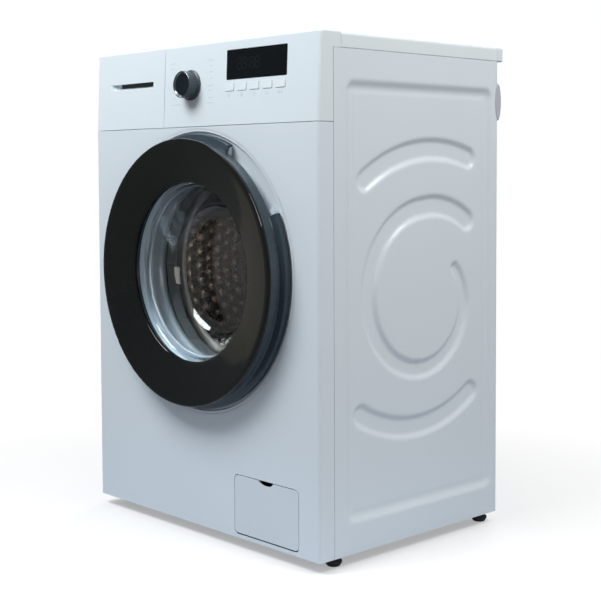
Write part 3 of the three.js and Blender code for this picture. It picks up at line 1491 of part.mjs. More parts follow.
const finish = (color, roughness, metalness = 0) => ({ color, roughness, metalness });
const whitePaint = finish(0xd9e4ea, 0.35);
const whitePlastic = finish(0xdde6ea, 0.4);
const zincSheet = finish(0xa9adb0, 0.4, 0.9);
const glossBlack = finish(0x0b0c0b, 0.08);
const slatePlastic = finish(0x333d44, 0.3);
const greyRubber = finish(0x8d9499, 0.8);
const blackRubber = finish(0x17181a, 0.8);
const clearGlass = finish(0xcfd8dc, 0.05);
const stainless = finish(0xb9bcbe, 0.3, 1);
const greyPlastic = finish(0x9aa0a3, 0.6);
const blackPlastic = finish(0x1d2023, 0.5);
const castIron = finish(0x55585a, 0.7, 0.4);
const boardGreen = finish(0x1f5a3c, 0.6);

const machine = new THREE.Group();
const wash = new THREE.Group();
wash.position.z = axisHeight;
const leaning = new THREE.Group();
leaning.position.z = fasciaBottom;
leaning.rotation.x = -leanAngle;
machine.add(wash, leaning);

function addPiece(group, name, piece, look, spot = [0, 0, 0], turn = [0, 0, 0]) {
  const data = piece.getMesh();
  const geometry = new THREE.BufferGeometry();
  geometry.setAttribute('position', new THREE.BufferAttribute(Float32Array.from(data.vertProperties), 3));
  geometry.setIndex(new THREE.BufferAttribute(Uint32Array.from(data.triVerts), 1));
  const mesh = new THREE.Mesh(geometry, new THREE.MeshStandardMaterial(look));
  mesh.name = name;
  mesh.position.set(...spot);
  mesh.rotation.set(...turn);
  group.add(mesh);
  return mesh;
}

addPiece(machine, 'side_panel_left', sidePanel(-1), whitePaint);
addPiece(machine, 'side_panel_right', sidePanel(1), whitePaint);
addPiece(machine, 'front_panel', frontPanel(), whitePaint);
addPiece(machine, 'rear_panel', rearPanel(), whitePaint);
addPiece(machine, 'service_cover', serviceCover(), whitePaint);
addPiece(machine, 'base_tray', baseTray(), greyPlastic);
addPiece(machine, 'top_brace', topBrace(), zincSheet);
addPiece(machine, 'worktop', worktop(), whitePlastic);
addPiece(machine, 'control_panel', controlPanel(), whitePlastic);
addPiece(leaning, 'display_window', displayWindow(), glossBlack);
addPiece(leaning, 'control_board', controlBoard(), boardGreen);
for (let index = 0; index < buttonCount; index += 1) {
  addPiece(leaning, `button_${index + 1}`, button(index), whitePlastic);
}
addPiece(leaning, 'program_knob', programKnob(), blackPlastic, [knobFromMiddle, 0, knobMiddleHeight]);
addPiece(machine, 'drawer_front', drawerFront(), whitePlastic);
addPiece(machine, 'drawer_tray', drawerTray(), whitePlastic);
addPiece(machine, 'dispenser_housing', dispenserHousing(), greyPlastic);
addPiece(machine, 'inlet_valve', inletValve(), greyPlastic);
addPiece(machine, 'wall_spacer', wallSpacer(), whitePlastic);
addPiece(machine, 'drain_port', drainPort(), greyPlastic);
addPiece(machine, 'cable_gland', cableGland(), blackPlastic);
addPiece(machine, 'filter_flap', filterFlap(), whitePlastic);
addPiece(machine, 'pump_housing', pumpHousing(), greyPlastic);
addPiece(machine, 'filter_cap', filterCap(), greyPlastic, [pumpFromMiddle, 0, pumpHeight]);

const footPlaces = [-1, 1].flatMap((side) =>
  [footFromFront, footRearDepth].map((y) => [side * footFromMiddle, y, 0]));
footPlaces.forEach((spot, index) => addPiece(machine, `foot_${index + 1}`, foot(), blackRubber, spot));

addPiece(wash, 'door_ring', doorRing(), glossBlack);
addPiece(wash, 'door_frame', doorFrame(), slatePlastic);
addPiece(wash, 'door_glass', doorGlass(), clearGlass);
addPiece(wash, 'door_inner_ring', doorInnerRing(), greyPlastic);
addPiece(wash, 'door_hinge', doorHinge(), zincSheet);
addPiece(wash, 'latch_hook', latchHook(), zincSheet);
addPiece(wash, 'door_lock', doorLock(), blackPlastic);
addPiece(wash, 'gasket', gasket(), greyRubber);
addPiece(wash, 'tub_front', tubFrontHalf(), greyPlastic);
addPiece(wash, 'tub_rear', tubRearHalf(), greyPlastic);
addPiece(wash, 'counterweight', counterweight(), castIron);
addPiece(wash, 'heater', heater(), stainless);
addPiece(wash, 'drum', drum(), stainless);
const paddle = lifter();
for (let index = 0; index < 3; index += 1) {
  addPiece(wash, `lifter_${index + 1}`, paddle, greyPlastic, [0, 0, 0], [0, (index * 2 * Math.PI) / 3, 0]);
}
addPiece(wash, 'spider', spider(), castIron);
addPiece(wash, 'bearing_hub', bearingHub(), stainless);
addPiece(wash, 'drum_pulley', drumPulley(), castIron);
addPiece(wash, 'belt', belt(), blackRubber);
addPiece(wash, 'motor', motor(), zincSheet);
addPiece(machine, 'motor_pulley', motorPulley(), stainless, [0, 0, motorHeight]);
for (const [side, word] of [[-1, 'left'], [1, 'right']]) {
  addPiece(machine, `spring_${word}`, spring(), stainless, [side * springFromMiddle, springDepth, 0]);
  addPiece(machine, `damper_cylinder_${word}`, damperCylinder(), blackPlastic,
    [side * damperFromMiddle, damperDepth, 0]);
  addPiece(machine, `damper_rod_${word}`, damperRod(), stainless, [side * damperFromMiddle, damperDepth, 0]);
}
addPiece(machine, 'sump_hose', sumpHose(), blackRubber, [hoseFromMiddle, hoseDepth, 0]);

// The origin lies under the middle of the whole machine, door and worktop included.
machine.position.y = -(cabinetDepth + worktopRearOverhang - doorFront) / 2;

export default machine;
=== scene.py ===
import json
import math

import bmesh
import bpy
import numpy as np
from mathutils import Matrix, Vector


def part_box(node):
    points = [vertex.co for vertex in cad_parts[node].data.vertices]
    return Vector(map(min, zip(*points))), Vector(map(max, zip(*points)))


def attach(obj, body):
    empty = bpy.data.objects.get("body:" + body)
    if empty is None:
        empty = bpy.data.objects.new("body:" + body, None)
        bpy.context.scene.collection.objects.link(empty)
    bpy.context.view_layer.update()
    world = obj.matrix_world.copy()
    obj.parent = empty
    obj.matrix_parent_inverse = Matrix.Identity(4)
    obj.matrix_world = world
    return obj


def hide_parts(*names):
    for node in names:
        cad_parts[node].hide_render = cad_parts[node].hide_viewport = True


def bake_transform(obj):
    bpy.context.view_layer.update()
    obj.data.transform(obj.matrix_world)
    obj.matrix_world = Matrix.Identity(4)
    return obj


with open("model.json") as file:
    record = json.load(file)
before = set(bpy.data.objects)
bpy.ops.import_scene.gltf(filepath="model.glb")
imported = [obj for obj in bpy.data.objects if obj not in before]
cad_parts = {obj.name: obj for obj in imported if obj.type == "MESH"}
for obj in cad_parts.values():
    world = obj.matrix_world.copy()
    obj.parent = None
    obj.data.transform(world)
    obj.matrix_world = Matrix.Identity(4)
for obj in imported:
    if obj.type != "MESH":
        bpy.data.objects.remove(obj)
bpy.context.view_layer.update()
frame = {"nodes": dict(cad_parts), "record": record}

# A front load washing machine, dressed around its CAD model, section by section as it is put
# together: cabinet, fascia, door, tub and drum, then the fittings. Lengths are in metres.
node = frame["nodes"]

# -------- camera and studio
# A camera at chest height to the right of the machine, a pale floor that runs off into the
# backdrop, and wide soft lights, with a small one inside the drum. None of it belongs to the
# machine.
bring_in = bpy.context.scene.collection.objects.link
lens = bpy.data.cameras.new("camera")
lens.lens, lens.sensor_width = 74.22, 36.0
lens.shift_x, lens.shift_y = 0.0087, -0.105
camera = bpy.data.objects.new("camera", lens)
view = Matrix.Translation((1.6681, -1.5308, 0.6330))
for degrees, axis in ((47.09, "Z"), (90.0 - 3.105, "X"), (-0.271, "Z")):
    view @= Matrix.Rotation(math.radians(degrees), 4, axis)
camera.matrix_world = view
bring_in(camera)
bpy.context.scene.camera = camera
bpy.context.scene.view_settings.view_transform = "Standard"
for name, place, target, size, watts, colour in (
    ("light_front", (-0.32, -1.45, 2.3), (0.0, -0.25, 0.7), (1.4, 1.0), 55.5, (0.95, 0.98, 1.0)),
    ("light_side", (1.7, 0.3, 2.4), (0.3, 0.0, 0.65), (1.2, 1.2), 43.0, (1.0, 0.985, 0.96)),
    ("light_right", (3.3, -1.5, 1.0), (0.0, -0.2, 0.46), (1.3, 1.5), 13.5, (1.0, 0.96, 0.91)),
    ("light_warm_card", (-3.0, -0.9, 0.9), (0.0, -0.25, 0.5), (1.1, 2.4), 1.9, (1.0, 0.86, 0.6)),
    ("light_in_drum", (0.13, 0.04, 0.47), (-0.22, 0.02, 0.47), (0.09, 0.09), 0.04,
     (1.0, 0.84, 0.7)),
    ("light_top", (0.0, 0.3, 3.2), (0.0, 0.0, 0.0), (2.4, 2.4), 9.0, (1.0, 1.0, 1.0)),
    ("light_rear", (-1.3, 2.7, 1.7), (0.0, 0.2, 0.45), (1.6, 1.6), 30.0, (0.97, 0.98, 1.0)),
):
    data = bpy.data.lights.new(name, "AREA")
    data.shape, data.energy, data.color = "RECTANGLE", watts, colour
    data.size, data.size_y = size
    light = bpy.data.objects.new(name, data)
    light.location = place
    light.rotation_euler = (Vector(target) - Vector(place)).to_track_quat("-Z", "Y").to_euler()
    bring_in(light)


class Graph:
    """A node tree under construction, and short ways to add, set and join its nodes."""

    def __init__(self, tree):
        self.tree = tree

    def fill(self, made, *ports, **inputs):
        """Sets or joins a node's inputs, which are given in their order or by name."""
        for socket, value in [*enumerate(ports), *inputs.items()]:
            target = made.inputs[socket if isinstance(socket, int) else socket.replace("_", " ")]
            if isinstance(value, bpy.types.NodeSocket):
                self.tree.links.new(value, target)
            elif target.type == "RGBA":
                target.default_value = (*value, 1.0)
            else:
                target.default_value = value
        return made

    def add(self, kind, *ports, **inputs):
        return self.fill(self.tree.nodes.new(f"ShaderNode{kind}"), *ports, **inputs)

    def sum_of(self, operation, *values):
        made = self.add("Math", *values)
        made.operation = operation
        return made.outputs[0]

    def spread(self, value, low, high, start=0.0, end=1.0):
        """A value that is mapped from its own range to the range from low to high."""
        return self.add("MapRange", Value=value, From_Min=start, From_Max=end, To_Min=low,
                        To_Max=high).outputs["Result"]

    def mix(self, share, first, second):
        return self.add("MixRGB", share, first, second).outputs["Color"]

    def end(self, name, shader):
        self.fill(self.tree.nodes[name], Surface=shader.outputs[0])


class Finish(Graph):
    """A material under construction, patterned by the place on the piece."""

    def __init__(self, name, colour, roughness, metallic=0.0, **sockets):
        self.material = bpy.data.materials.new(name)
        self.material.use_nodes = True
        super().__init__(self.material.node_tree)
        self.shader = self.tree.nodes["Principled BSDF"]
        self.drive(Base_Color=colour, Roughness=roughness, Metallic=metallic, **sockets)
        self.place = self.add("TexCoord").outputs["Object"]

    def noise(self, scale, detail, **inputs):
        """Cloudy noise over the piece, as a value from 0 to 1."""
        return self.add("TexNoise", Vector=self.place, Scale=scale, Detail=detail,
                        **inputs).outputs["Fac"]

    def drive(self, **sockets):
        self.fill(self.shader, **sockets)

    def relief(self, height, strength, distance):
        self.drive(Normal=self.add("Bump", Height=height, Strength=strength,
                                   Distance=distance).outputs["Normal"])

    def wear(self, effect, relief, **values):
        """Takes the colour, gloss and relief from a group of nodes, and gives the material."""
        skin = self.tree.nodes.new("ShaderNodeGroup")
        skin.node_tree = effect.tree
        self.fill(skin, Place=self.place, **values)
        self.drive(Base_Color=skin.outputs["Colour"], Roughness=skin.outputs["Roughness"])
        self.relief(skin.outputs["Height"], relief, 0.001)
        return self.material


studio = bpy.data.worlds.new("studio")
studio.use_nodes = True
bpy.context.scene.world = studio
air = Graph(studio.node_tree)
fill = air.fill(air.tree.nodes["Background"], Color=(0.90, 0.95, 1.0), Strength=0.20)
backdrop = air.add("Background", Color=(1.0, 1.0, 1.0))
air.end("World Output", air.add("MixShader", air.add("LightPath").outputs["Is Camera Ray"],
                                fill.outputs[0], backdrop.outputs[0]))


def deselect():
    if bpy.context.object and bpy.context.object.mode != "OBJECT":
        bpy.ops.object.mode_set(mode="OBJECT")
    bpy.ops.object.select_all(action="DESELECT")


def take(piece):
    deselect()
    piece.select_set(True)
    bpy.context.view_layer.objects.active = piece


deselect()
bpy.ops.mesh.primitive_plane_add(size=60.0, location=(0.0, 0.0, -0.0005))
floor = bpy.context.object
floor.name = "floor"
pale = (0.93, 0.93, 0.93)
ground = Finish("floor", pale, 0.9, Specular_IOR_Level=0.1)
seen = ground.add("LightPath").outputs["Is Camera Ray"]
ground.drive(Base_Color=ground.mix(seen, (0.50, 0.56, 0.68), pale))
glow = ground.add("Emission", Color=(1.0, 1.0, 1.0), Strength=ground.spread(seen, 0.22, 1.0))
away = ground.add("VectorMath", ground.place)
away.operation = "LENGTH"
ground.end("Material Output", ground.add(
    "MixShader", ground.spread(away.outputs["Value"], 0.35, 1.0, 0.42, 0.95),
    ground.shader.outputs[0], glow.outputs[0]))
floor.data.materials.append(ground.material)

# -------- side panels
# Pressed sheet steel, powder coated white inside and out. A shallow recess and three sunk
# stiffening bands, one of them a swirl, keep the large flat sheet from drumming.


class Effect(Graph):
    """A group of nodes under construction, with its named inputs and outputs."""

    def __init__(self, name, inputs, outputs):
        super().__init__(bpy.data.node_groups.new(name, "ShaderNodeTree"))
        for way, sockets in (("INPUT", inputs), ("OUTPUT", outputs)):
            for label, kind in sockets.items():
                self.tree.interface.new_socket(label, in_out=way,
                                               socket_type=f"NodeSocket{kind}")
        self.given = self.tree.nodes.new("NodeGroupInput").outputs
        self.result = self.tree.nodes.new("NodeGroupOutput")


# The faint unevenness of a sprayed or moulded skin: fine pebbling, and slow waves in its gloss.
skin_outputs = {"Colour": "Color", "Roughness": "Float", "Height": "Float"}
coating = Effect("coated_surface", {"Place": "Vector", "Colour": "Color", "Roughness": "Float",
                                    "Pebble Scale": "Float", "Variation": "Float"}, skin_outputs)
given = coating.given
pebbles = coating.add("TexNoise", Vector=given["Place"], Scale=given["Pebble Scale"], Detail=3.0)
waves = coating.add("TexNoise", Vector=given["Place"], Scale=5.0, Detail=2.0)
swing = coating.sum_of("MULTIPLY", coating.sum_of("SUBTRACT", waves.outputs["Fac"], 0.5),
                       given["Variation"])
tone = coating.add("HueSaturation", Value=coating.sum_of("MULTIPLY_ADD", swing, 0.35, 1.0),
                   Color=given["Colour"])
coating.fill(coating.result, Colour=tone.outputs["Color"], Height=pebbles.outputs["Fac"],
             Roughness=coating.sum_of("ADD", given["Roughness"], swing))


def coated(name, colour, roughness, pebble_scale, relief, variation=0.12, **sockets):
    """Paint or moulded plastic: one colour with pebbling, and a little change in gloss."""
    return Finish(name, colour, roughness, **sockets).wear(
        coating, relief, Colour=colour, Roughness=roughness, Pebble_Scale=pebble_scale,
        Variation=variation)


white_paint = coated("white_paint", (0.70, 0.77, 0.82), 0.30, 900.0, 0.035, Coat_Weight=0.25,
                     Coat_Roughness=0.12)


def dress(piece, body, slot, material, *nodes):
    """Gives a finished piece its material, hangs it on its body and hides the CAD nodes that it
    stands for. A piece given two bodies, with the places where each one ends, is hung on neither:
    only its place is baked into its mesh."""
    piece.data.materials.clear()
    piece.data.materials.append(material)
    if isinstance(body, str):
        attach(piece, body)
    else:
        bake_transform(piece)
    if nodes:
        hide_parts(*nodes)


def paint(material, *names):
    """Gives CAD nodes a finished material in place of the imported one."""
    for name in names:
        data = node[name].data
        data.materials.clear()
        data.materials.append(material)


def named(name):
    """The primitive that was just added, under its own name."""
    bpy.context.object.name = name
    return bpy.context.object


def open_mesh(piece):
    """Opens a piece for editing with all of it selected."""
    take(piece)
    bpy.ops.object.mode_set(mode="EDIT")
    bpy.ops.mesh.select_all(action="SELECT")


def close_mesh(outward=True):
    """Turns the faces of an open piece outwards, if wanted, and closes it."""
    if outward:
        bpy.ops.mesh.select_all(action="SELECT")
        bpy.ops.mesh.normals_make_consistent(inside=False)
    bpy.ops.object.mode_set(mode="OBJECT")


def modify(piece, kind, **settings):
    """Finishes a piece with a modifier, which is applied."""
    take(piece)
    modifier = piece.modifiers.new(kind.lower(), kind)
    for setting, value in settings.items():
        setattr(modifier, setting, value)
    bpy.ops.object.modifier_apply(modifier=modifier.name)


def smooth(piece, degrees=30.0):
    """Smooth shading that leaves the broad faces flat and the sharp edges sharp."""
    take(piece)
    bpy.ops.object.shade_smooth_by_angle(angle=math.radians(degrees))
    modify(piece, "WEIGHTED_NORMAL", keep_sharp=True, weight=100)


def stamped_bands():
    """Middle lines and half widths of the three bands: two arcs and the swirl between them."""
    def arc(y, z, radius, turn):
        turn = np.radians(turn)
        return np.stack([y + radius * np.cos(turn), z + radius * np.sin(turn)], 1)

    radii = (0.168, 0.150, 0.141, 0.133, 0.127, 0.122, 0.115, 0.107, 0.092)
    angles = (48, 90, 135, 180, 225, 270, 310, 350, 388)
    share = np.linspace(0.0, 1.0, 220)
    steps = np.linspace(0.0, 1.0, len(radii))
    swirl = arc(0.250, 0.420, np.interp(share, steps, radii), np.interp(share, steps, angles))
    half, count = 0.021, 60
    return (
        (arc(0.274, 0.369, 0.298, np.linspace(124, 72, count)), np.full(count, half)),
        (swirl, half * (1.0 - 0.35 * share ** 2)),
        (arc(0.230, 0.465, 0.262, np.linspace(-120, -57, count)), np.full(count, half)),
    )


def stamped_depth(y, z):
    """Sink of the pressing at points of the side, given as arrays of Y from the front and Z."""
    def step(distance, slope):
        share = np.clip(distance / slope, 0.0, 1.0)
        return share * share * (3.0 - 2.0 * share)

    low_y, high_y, low_z, high_z, corner = 0.0588, 0.4275, 0.066, 0.7767, 0.020
    pressed, recess_slope, band_slope, bead = 0.005, 0.013, 0.010, 0.0007
    away_y = np.maximum(np.maximum(low_y + corner - y, y - high_y + corner), 0.0)
    away_z = np.maximum(np.maximum(low_z + corner - z, z - high_z + corner), 0.0)
    straight = np.minimum(np.minimum(y - low_y, high_y - y), np.minimum(z - low_z, high_z - z))
    inside = np.where((away_y > 0) & (away_z > 0), corner - np.hypot(away_y, away_z), straight)
    foot = np.clip((inside - 0.010) / 0.014, 0.0, 1.0)
    sink = pressed * step(inside, recess_slope) + bead * np.sin(math.pi * foot) ** 2
    for line, half_width in stamped_bands():
        near = np.full(y.shape, -1.0)
        for (line_y, line_z), reach in zip(line, half_width):
            near = np.maximum(near, reach - np.hypot(y - line_y, z - line_z))
        sink = sink + pressed * step(near, band_slope)
    return sink


def points_of(piece):
    """The places of a piece's points, as an array for each of X, Y and Z."""
    flat = np.empty(len(piece.data.vertices) * 3)
    piece.data.vertices.foreach_get("co", flat)
    return flat.reshape(-1, 3).T


def move_points(piece, *places):
    piece.data.vertices.foreach_set("co", np.stack(places, 1).ravel())
    piece.data.update()


front_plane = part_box("front_panel")[0].y
sheet = 0.0012
side_lip = 0.014


def side_panel(word, side):
    """A pressed side sheet with its folded edges. The side is -1 at the left, 1 at the right."""
    low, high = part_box(f"side_panel_{word}")
    deselect()
    bpy.ops.mesh.primitive_grid_add(x_subdivisions=138, y_subdivisions=272, size=1.0)
    piece = named(f"pressed_side_{word}")
    along, up = points_of(piece)[:2] + 0.5
    y, z = low.y + along * (high.y - low.y), low.z + up * (high.z - low.z)
    outside = high.x if side > 0 else low.x
    move_points(piece, outside - side * stamped_depth(y - front_plane, z), y, z)
    open_mesh(piece)
    bpy.ops.mesh.region_to_loop()
    bpy.ops.mesh.extrude_region_move(TRANSFORM_OT_translate={"value": (-side * side_lip, 0, 0)})
    close_mesh()
    if side * sum(polygon.normal.x for polygon in piece.data.polygons) < 0:
        piece.data.flip_normals()
    modify(piece, "SOLIDIFY", thickness=sheet, offset=-1.0)
    return piece


side_left = side_panel("left", -1)
side_right = side_panel("right", 1)


def carve(piece, tool, operation="DIFFERENCE"):
    """Cuts a piece with a tool, or joins the two, and takes the tool away."""
    modify(piece, "BOOLEAN", operation=operation, solver="EXACT", object=tool)
    bpy.data.objects.remove(tool, do_unlink=True)


def outlined(name, places, fill="NGON"):
    """A closed ring of points in space with or without a face, open for editing."""
    deselect()
    bpy.ops.mesh.primitive_circle_add(vertices=len(places), fill_type=fill)
    piece = named(name)
    for vertex, place in zip(piece.data.vertices, places):
        vertex.co = place
    open_mesh(piece)
    return piece


def prism(name, outline, near, far, axis="Y"):
    """A solid with the given flat outline, drawn out along one axis."""
    along = "XYZ".index(axis)
    travel = Vector()
    travel[along] = far - near
    piece = outlined(name, [(*point[:along], near, *point[along:]) for point in outline])
    bpy.ops.mesh.extrude_region_move(TRANSFORM_OT_translate={"value": travel})
    close_mesh()
    return piece


def oval(x, z, half_wide, half_high, steps):
    """The outline of a circle or an oval, as a ring of points."""
    turns = (2 * math.pi * step / steps for step in range(steps))
    return [(x + half_wide * math.cos(turn), z + half_high * math.sin(turn)) for turn in turns]


# The notch that the wall spacer is clipped in, with a little play all round.
spacer_low, spacer_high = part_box("wall_spacer")
middle, half = (spacer_low + spacer_high) / 2, (spacer_high - spacer_low) / 2
play = 0.0008
carve(side_right, prism("notch", oval(middle.y, middle.z, half.y + play, half.z + play, 96),
                        spacer_low.x - 0.015, spacer_high.x + 0.015, "X"))
for piece, word in ((side_left, "left"), (side_right, "right")):
    smooth(piece, 40.0)
    dress(piece, "cabinet", "white_paint", white_paint, f"side_panel_{word}")

# -------- front panel
# The same coated steel, folded round at both sides, with a drawn dish and port for the door
# and an opening for the filter flap.
ring_low, ring_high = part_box("door_ring")
axis_height = (ring_low.z + ring_high.z) / 2


def behind(points):
    """Profile points given as radius and depth behind the front sheet, in millimetres."""
    return [(radius / 1000, front_plane + depth / 1000) for radius, depth in points]


def turned(name, profile, steps=160, middle=(0.0, 0.0, axis_height), upright=False):
    """A round piece spun from a closed profile of (radius, place along the axis) points."""
    centre = Vector(middle)
    piece = outlined(name, [
        centre + Vector((radius, 0.0, along) if upright else (radius, along, 0.0))
        for radius, along in profile], "NOTHING")
    bpy.ops.mesh.spin(steps=steps, angle=2 * math.pi, center=centre,
                      axis=(0.0, 0.0, 1.0) if upright else (0.0, 1.0, 0.0))
    bpy.ops.mesh.select_all(action="SELECT")
    bpy.ops.mesh.remove_doubles(threshold=0.000002)
    bpy.ops.mesh.delete_loose(use_verts=True, use_edges=True, use_faces=False)
    close_mesh()
    smooth(piece)
    return piece


def block(name, low, high):
    """A plain cuboid tool or blank between two corners."""
    deselect()
    low, high = Vector(low), Vector(high)
    bpy.ops.mesh.primitive_cube_add(size=1.0, location=(low + high) / 2)
    bpy.context.object.scale = high - low
    bpy.ops.object.transform_apply(location=True, rotation=True, scale=True)
    return named(name)


def round_edges(piece, width, segments, chosen):
    """Rounds the edges of a piece whose two ends pass a test."""
    open_mesh(piece)
    bpy.ops.mesh.select_mode(type="EDGE")
    bpy.ops.mesh.select_all(action="DESELECT")
    made = bmesh.from_edit_mesh(piece.data)
    for edge in made.edges:
        edge.select = bool(chosen(edge.verts[0].co, edge.verts[1].co))
    bmesh.update_edit_mesh(piece.data)
    bpy.ops.mesh.bevel(offset=width, segments=segments, affect="EDGES", clamp_overlap=True)
    close_mesh(outward=False)
    return piece


def rounded(left, right, bottom, top, radius, steps=6):
    """The outline of a rectangle with round corners."""
    points = []
    corners = ((right, top, 0), (left, top, 90), (left, bottom, 180), (right, bottom, 270))
    for x, z, start in corners:
        middle_x = x + (radius if x == left else -radius)
        middle_z = z + (radius if z == bottom else -radius)
        for step in range(steps + 1):
            turn = math.radians(start + 90 * step / steps)
            points.append((middle_x + radius * math.cos(turn), middle_z + radius * math.sin(turn)))
    return points


front_low, front_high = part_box("front_panel")
flap_low, flap_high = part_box("filter_flap")
corner_round = 0.0045
front_lip = 0.014


def front_blank(name, inset):
    """The folded front as a solid. The inset gives its hollow, which runs out at the back."""
    over = 0.02 if inset else 0.0
    piece = block(name, (front_low.x + inset, front_low.y + inset, front_low.z + inset),
                  (front_high.x - inset, front_high.y + over, front_high.z - inset))
    return round_edges(piece, corner_round - inset, 8, lambda a, b: abs(a.z - b.z) > 0.1
                       and a.y < front_low.y + 0.01)


front_sheet = front_blank("front_sheet", 0.0)
carve(front_sheet, front_blank("hollow", sheet))
carve(front_sheet, block("open_back", (front_low.x + sheet, front_low.y + front_lip, 0.0),
                         (front_high.x - sheet, front_high.y + 0.01, 0.8)))
carve(front_sheet, prism("flap_hole", rounded(
    flap_low.x + 0.0033, flap_high.x - 0.0033, flap_low.z - 0.0023, flap_high.z + 0.0012, 0.009),
    front_plane - 0.01, front_plane + 0.005))
hole_radius = 0.2438
carve(front_sheet, prism("round", oval(0.0, axis_height, hole_radius, hole_radius, 160),
                         front_plane - 0.01, front_plane + 0.05))
dish = turned("door_dish", behind([
    (244.4, 0.0), (240.0, 0.0), (237.0, 4.0), (182.0, 12.0), (175.0, 16.0), (171.0, 21.0),
    (171.0, 26.0), (169.8, 26.0), (169.8, 21.5), (173.8, 17.0), (181.5, 13.2), (236.8, 5.3),
    (239.8, 1.2), (244.4, 1.2),
]))
hook_low, hook_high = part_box("latch_hook")
carve(dish, block("slot", (hook_low.x - 0.002, front_plane - 0.01, axis_height - 0.010),
                  (hook_high.x + 0.0105, front_plane + 0.02, axis_height + 0.010)))
smooth(front_sheet, 35.0)
smooth(dish)
dress(front_sheet, "cabinet", "white_paint", white_paint, "front_panel")
dress(dish, "cabinet", "white_paint", white_paint)

# -------- fascia
# One moulding of white plastic across the top of the front. It leans back a little, wraps round
# both front corners, clips to the front sheet, and leaves the left part open for the drawer.
fascia_low, fascia_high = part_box("control_panel")
fascia_foot = front_high.z + 0.0004
drawer_low, drawer_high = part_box("drawer_front")
lean = math.asin(next(joint["axis"][2] for joint in frame["record"]["behaviour"]["joints"]
                      if joint["name"] == "selector_turn"))
mould_wall = 0.0025


def break_edges(piece, width, segments, degrees, merge, flat):
    """Merges doubled corners and flat faces, and puts a small bevel on the sharp edges."""
    open_mesh(piece)
    bpy.ops.mesh.remove_doubles(threshold=merge)
    bpy.ops.mesh.dissolve_limited(angle_limit=math.radians(flat))
    close_mesh(outward=False)
    if width:
        modify(piece, "BEVEL", width=width, segments=segments, limit_method="ANGLE",
               angle_limit=math.radians(degrees), use_clamp_overlap=True)


def soften(piece, width=0.0004):
    """Breaks the sharp edges of a cut piece and shades it smooth."""
    break_edges(piece, width, 2, 35.0, 0.00002, 0.3)
    smooth(piece, 35.0)


def lean_back(piece):
    """Tips a piece that was modelled upright, so that it lies on the leaning face."""
    open_mesh(piece)
    bpy.ops.transform.rotate(value=lean, orient_axis="X",
                             center_override=(0.0, front_plane, fascia_foot))
    close_mesh(outward=False)
    return piece


def fascia_blank(name, inset):
    """The fascia's form as a solid. An inset gives the hollow, which runs out at the back."""
    far = fascia_high.y + (0.03 if inset else 0.0)
    piece = block(name, (fascia_low.x + inset, front_plane + inset, fascia_low.z + inset),
                  (fascia_high.x - inset, far, fascia_high.z - inset))
    front, top = front_plane + 0.02, fascia_high.z - inset - 0.001
    for vertex in piece.data.vertices:
        if vertex.co.y < front:
            vertex.co.y += (vertex.co.z - fascia_foot) * math.tan(lean)

    def outer_edge(a, b):
        upright = a.y < front and b.y < front and abs(a.z - b.z) > 0.05
        return upright or (a.z > top and b.z > top and (a.y < front or b.y < front))

    return round_edges(piece, corner_round - inset, 8, outer_edge)


def face_opening(name, left, right, bottom, top):
    """A tool for an opening with small round corners in the leaning face."""
    return lean_back(prism(name, rounded(left, right, bottom, top, 0.0018),
                           front_plane - 0.01, front_plane + 0.01))


wide = fascia_high.x + 0.01
before, under, over = front_plane - 0.01, 0.70, 0.86
seam_right = drawer_high.x + 0.0008
moulding = fascia_blank("fascia_moulding", 0.0)
hollow = fascia_blank("hollow", mould_wall)
carve(hollow, block("walls_round_drawer", (-wide, before, under),
                    (seam_right + mould_wall, drawer_high.y + 0.0033, over)))
carve(moulding, hollow)
carve(moulding, block("drawer_room", (-wide, before, under),
                      (seam_right, drawer_high.y + 0.0008, over)))
carve(moulding, block("above_cabinet", (-wide, front_high.y, under),
                      (wide, fascia_high.y + 0.01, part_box("worktop")[0].z)))
tray_low, tray_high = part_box("drawer_tray")
carve(moulding, block("mouth", (tray_low.x + 0.0015, front_plane, tray_low.z + 0.003),
                      (tray_high.x - 0.0015, fascia_high.y, tray_high.z - 0.003)))
display_middle, display_foot = 0.151, fascia_foot + 0.075
display_half, display_tall = 0.074, 0.049
play = 0.0003
carve(moulding, face_opening(
    "display_hole", display_middle - display_half - play, display_middle + display_half + play,
    display_foot - play, display_foot + display_tall + play))
buttons = (1, 2, 3, 4, 5)
button_height = fascia_foot + 0.0625
button_places = [(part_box(f"button_{i}")[0].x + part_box(f"button_{i}")[1].x) / 2 for i in buttons]
for x in button_places:
    carve(moulding, face_opening("button_hole", x - 0.0118, x + 0.0118, button_height - 0.0063,
                                 button_height + 0.0063))
soften(moulding)
white_plastic = coated("white_plastic", (0.72, 0.79, 0.835), 0.30, 1500.0, 0.02,
                       Coat_Weight=0.15, Coat_Roughness=0.10)
dress(moulding, "cabinet", "white_plastic", white_plastic, "control_panel")

# -------- drawer front
# The left end of the fascia is a separate moulding that closes the detergent drawer. A finger
# pull is sunk in it: the floor slopes up and in, and the left end fades out in a slanted facet.
pull_left, pull_right = drawer_low.x + 0.036, drawer_low.x + 0.174
pull_top, pull_foot = fascia_foot + 0.083, fascia_foot + 0.0715
facet_long = 0.026


def hull(name, corners):
    """The solid that eight corners span."""
    piece = outlined(name, corners, "NOTHING")
    bpy.ops.mesh.convex_hull()
    close_mesh()
    return piece


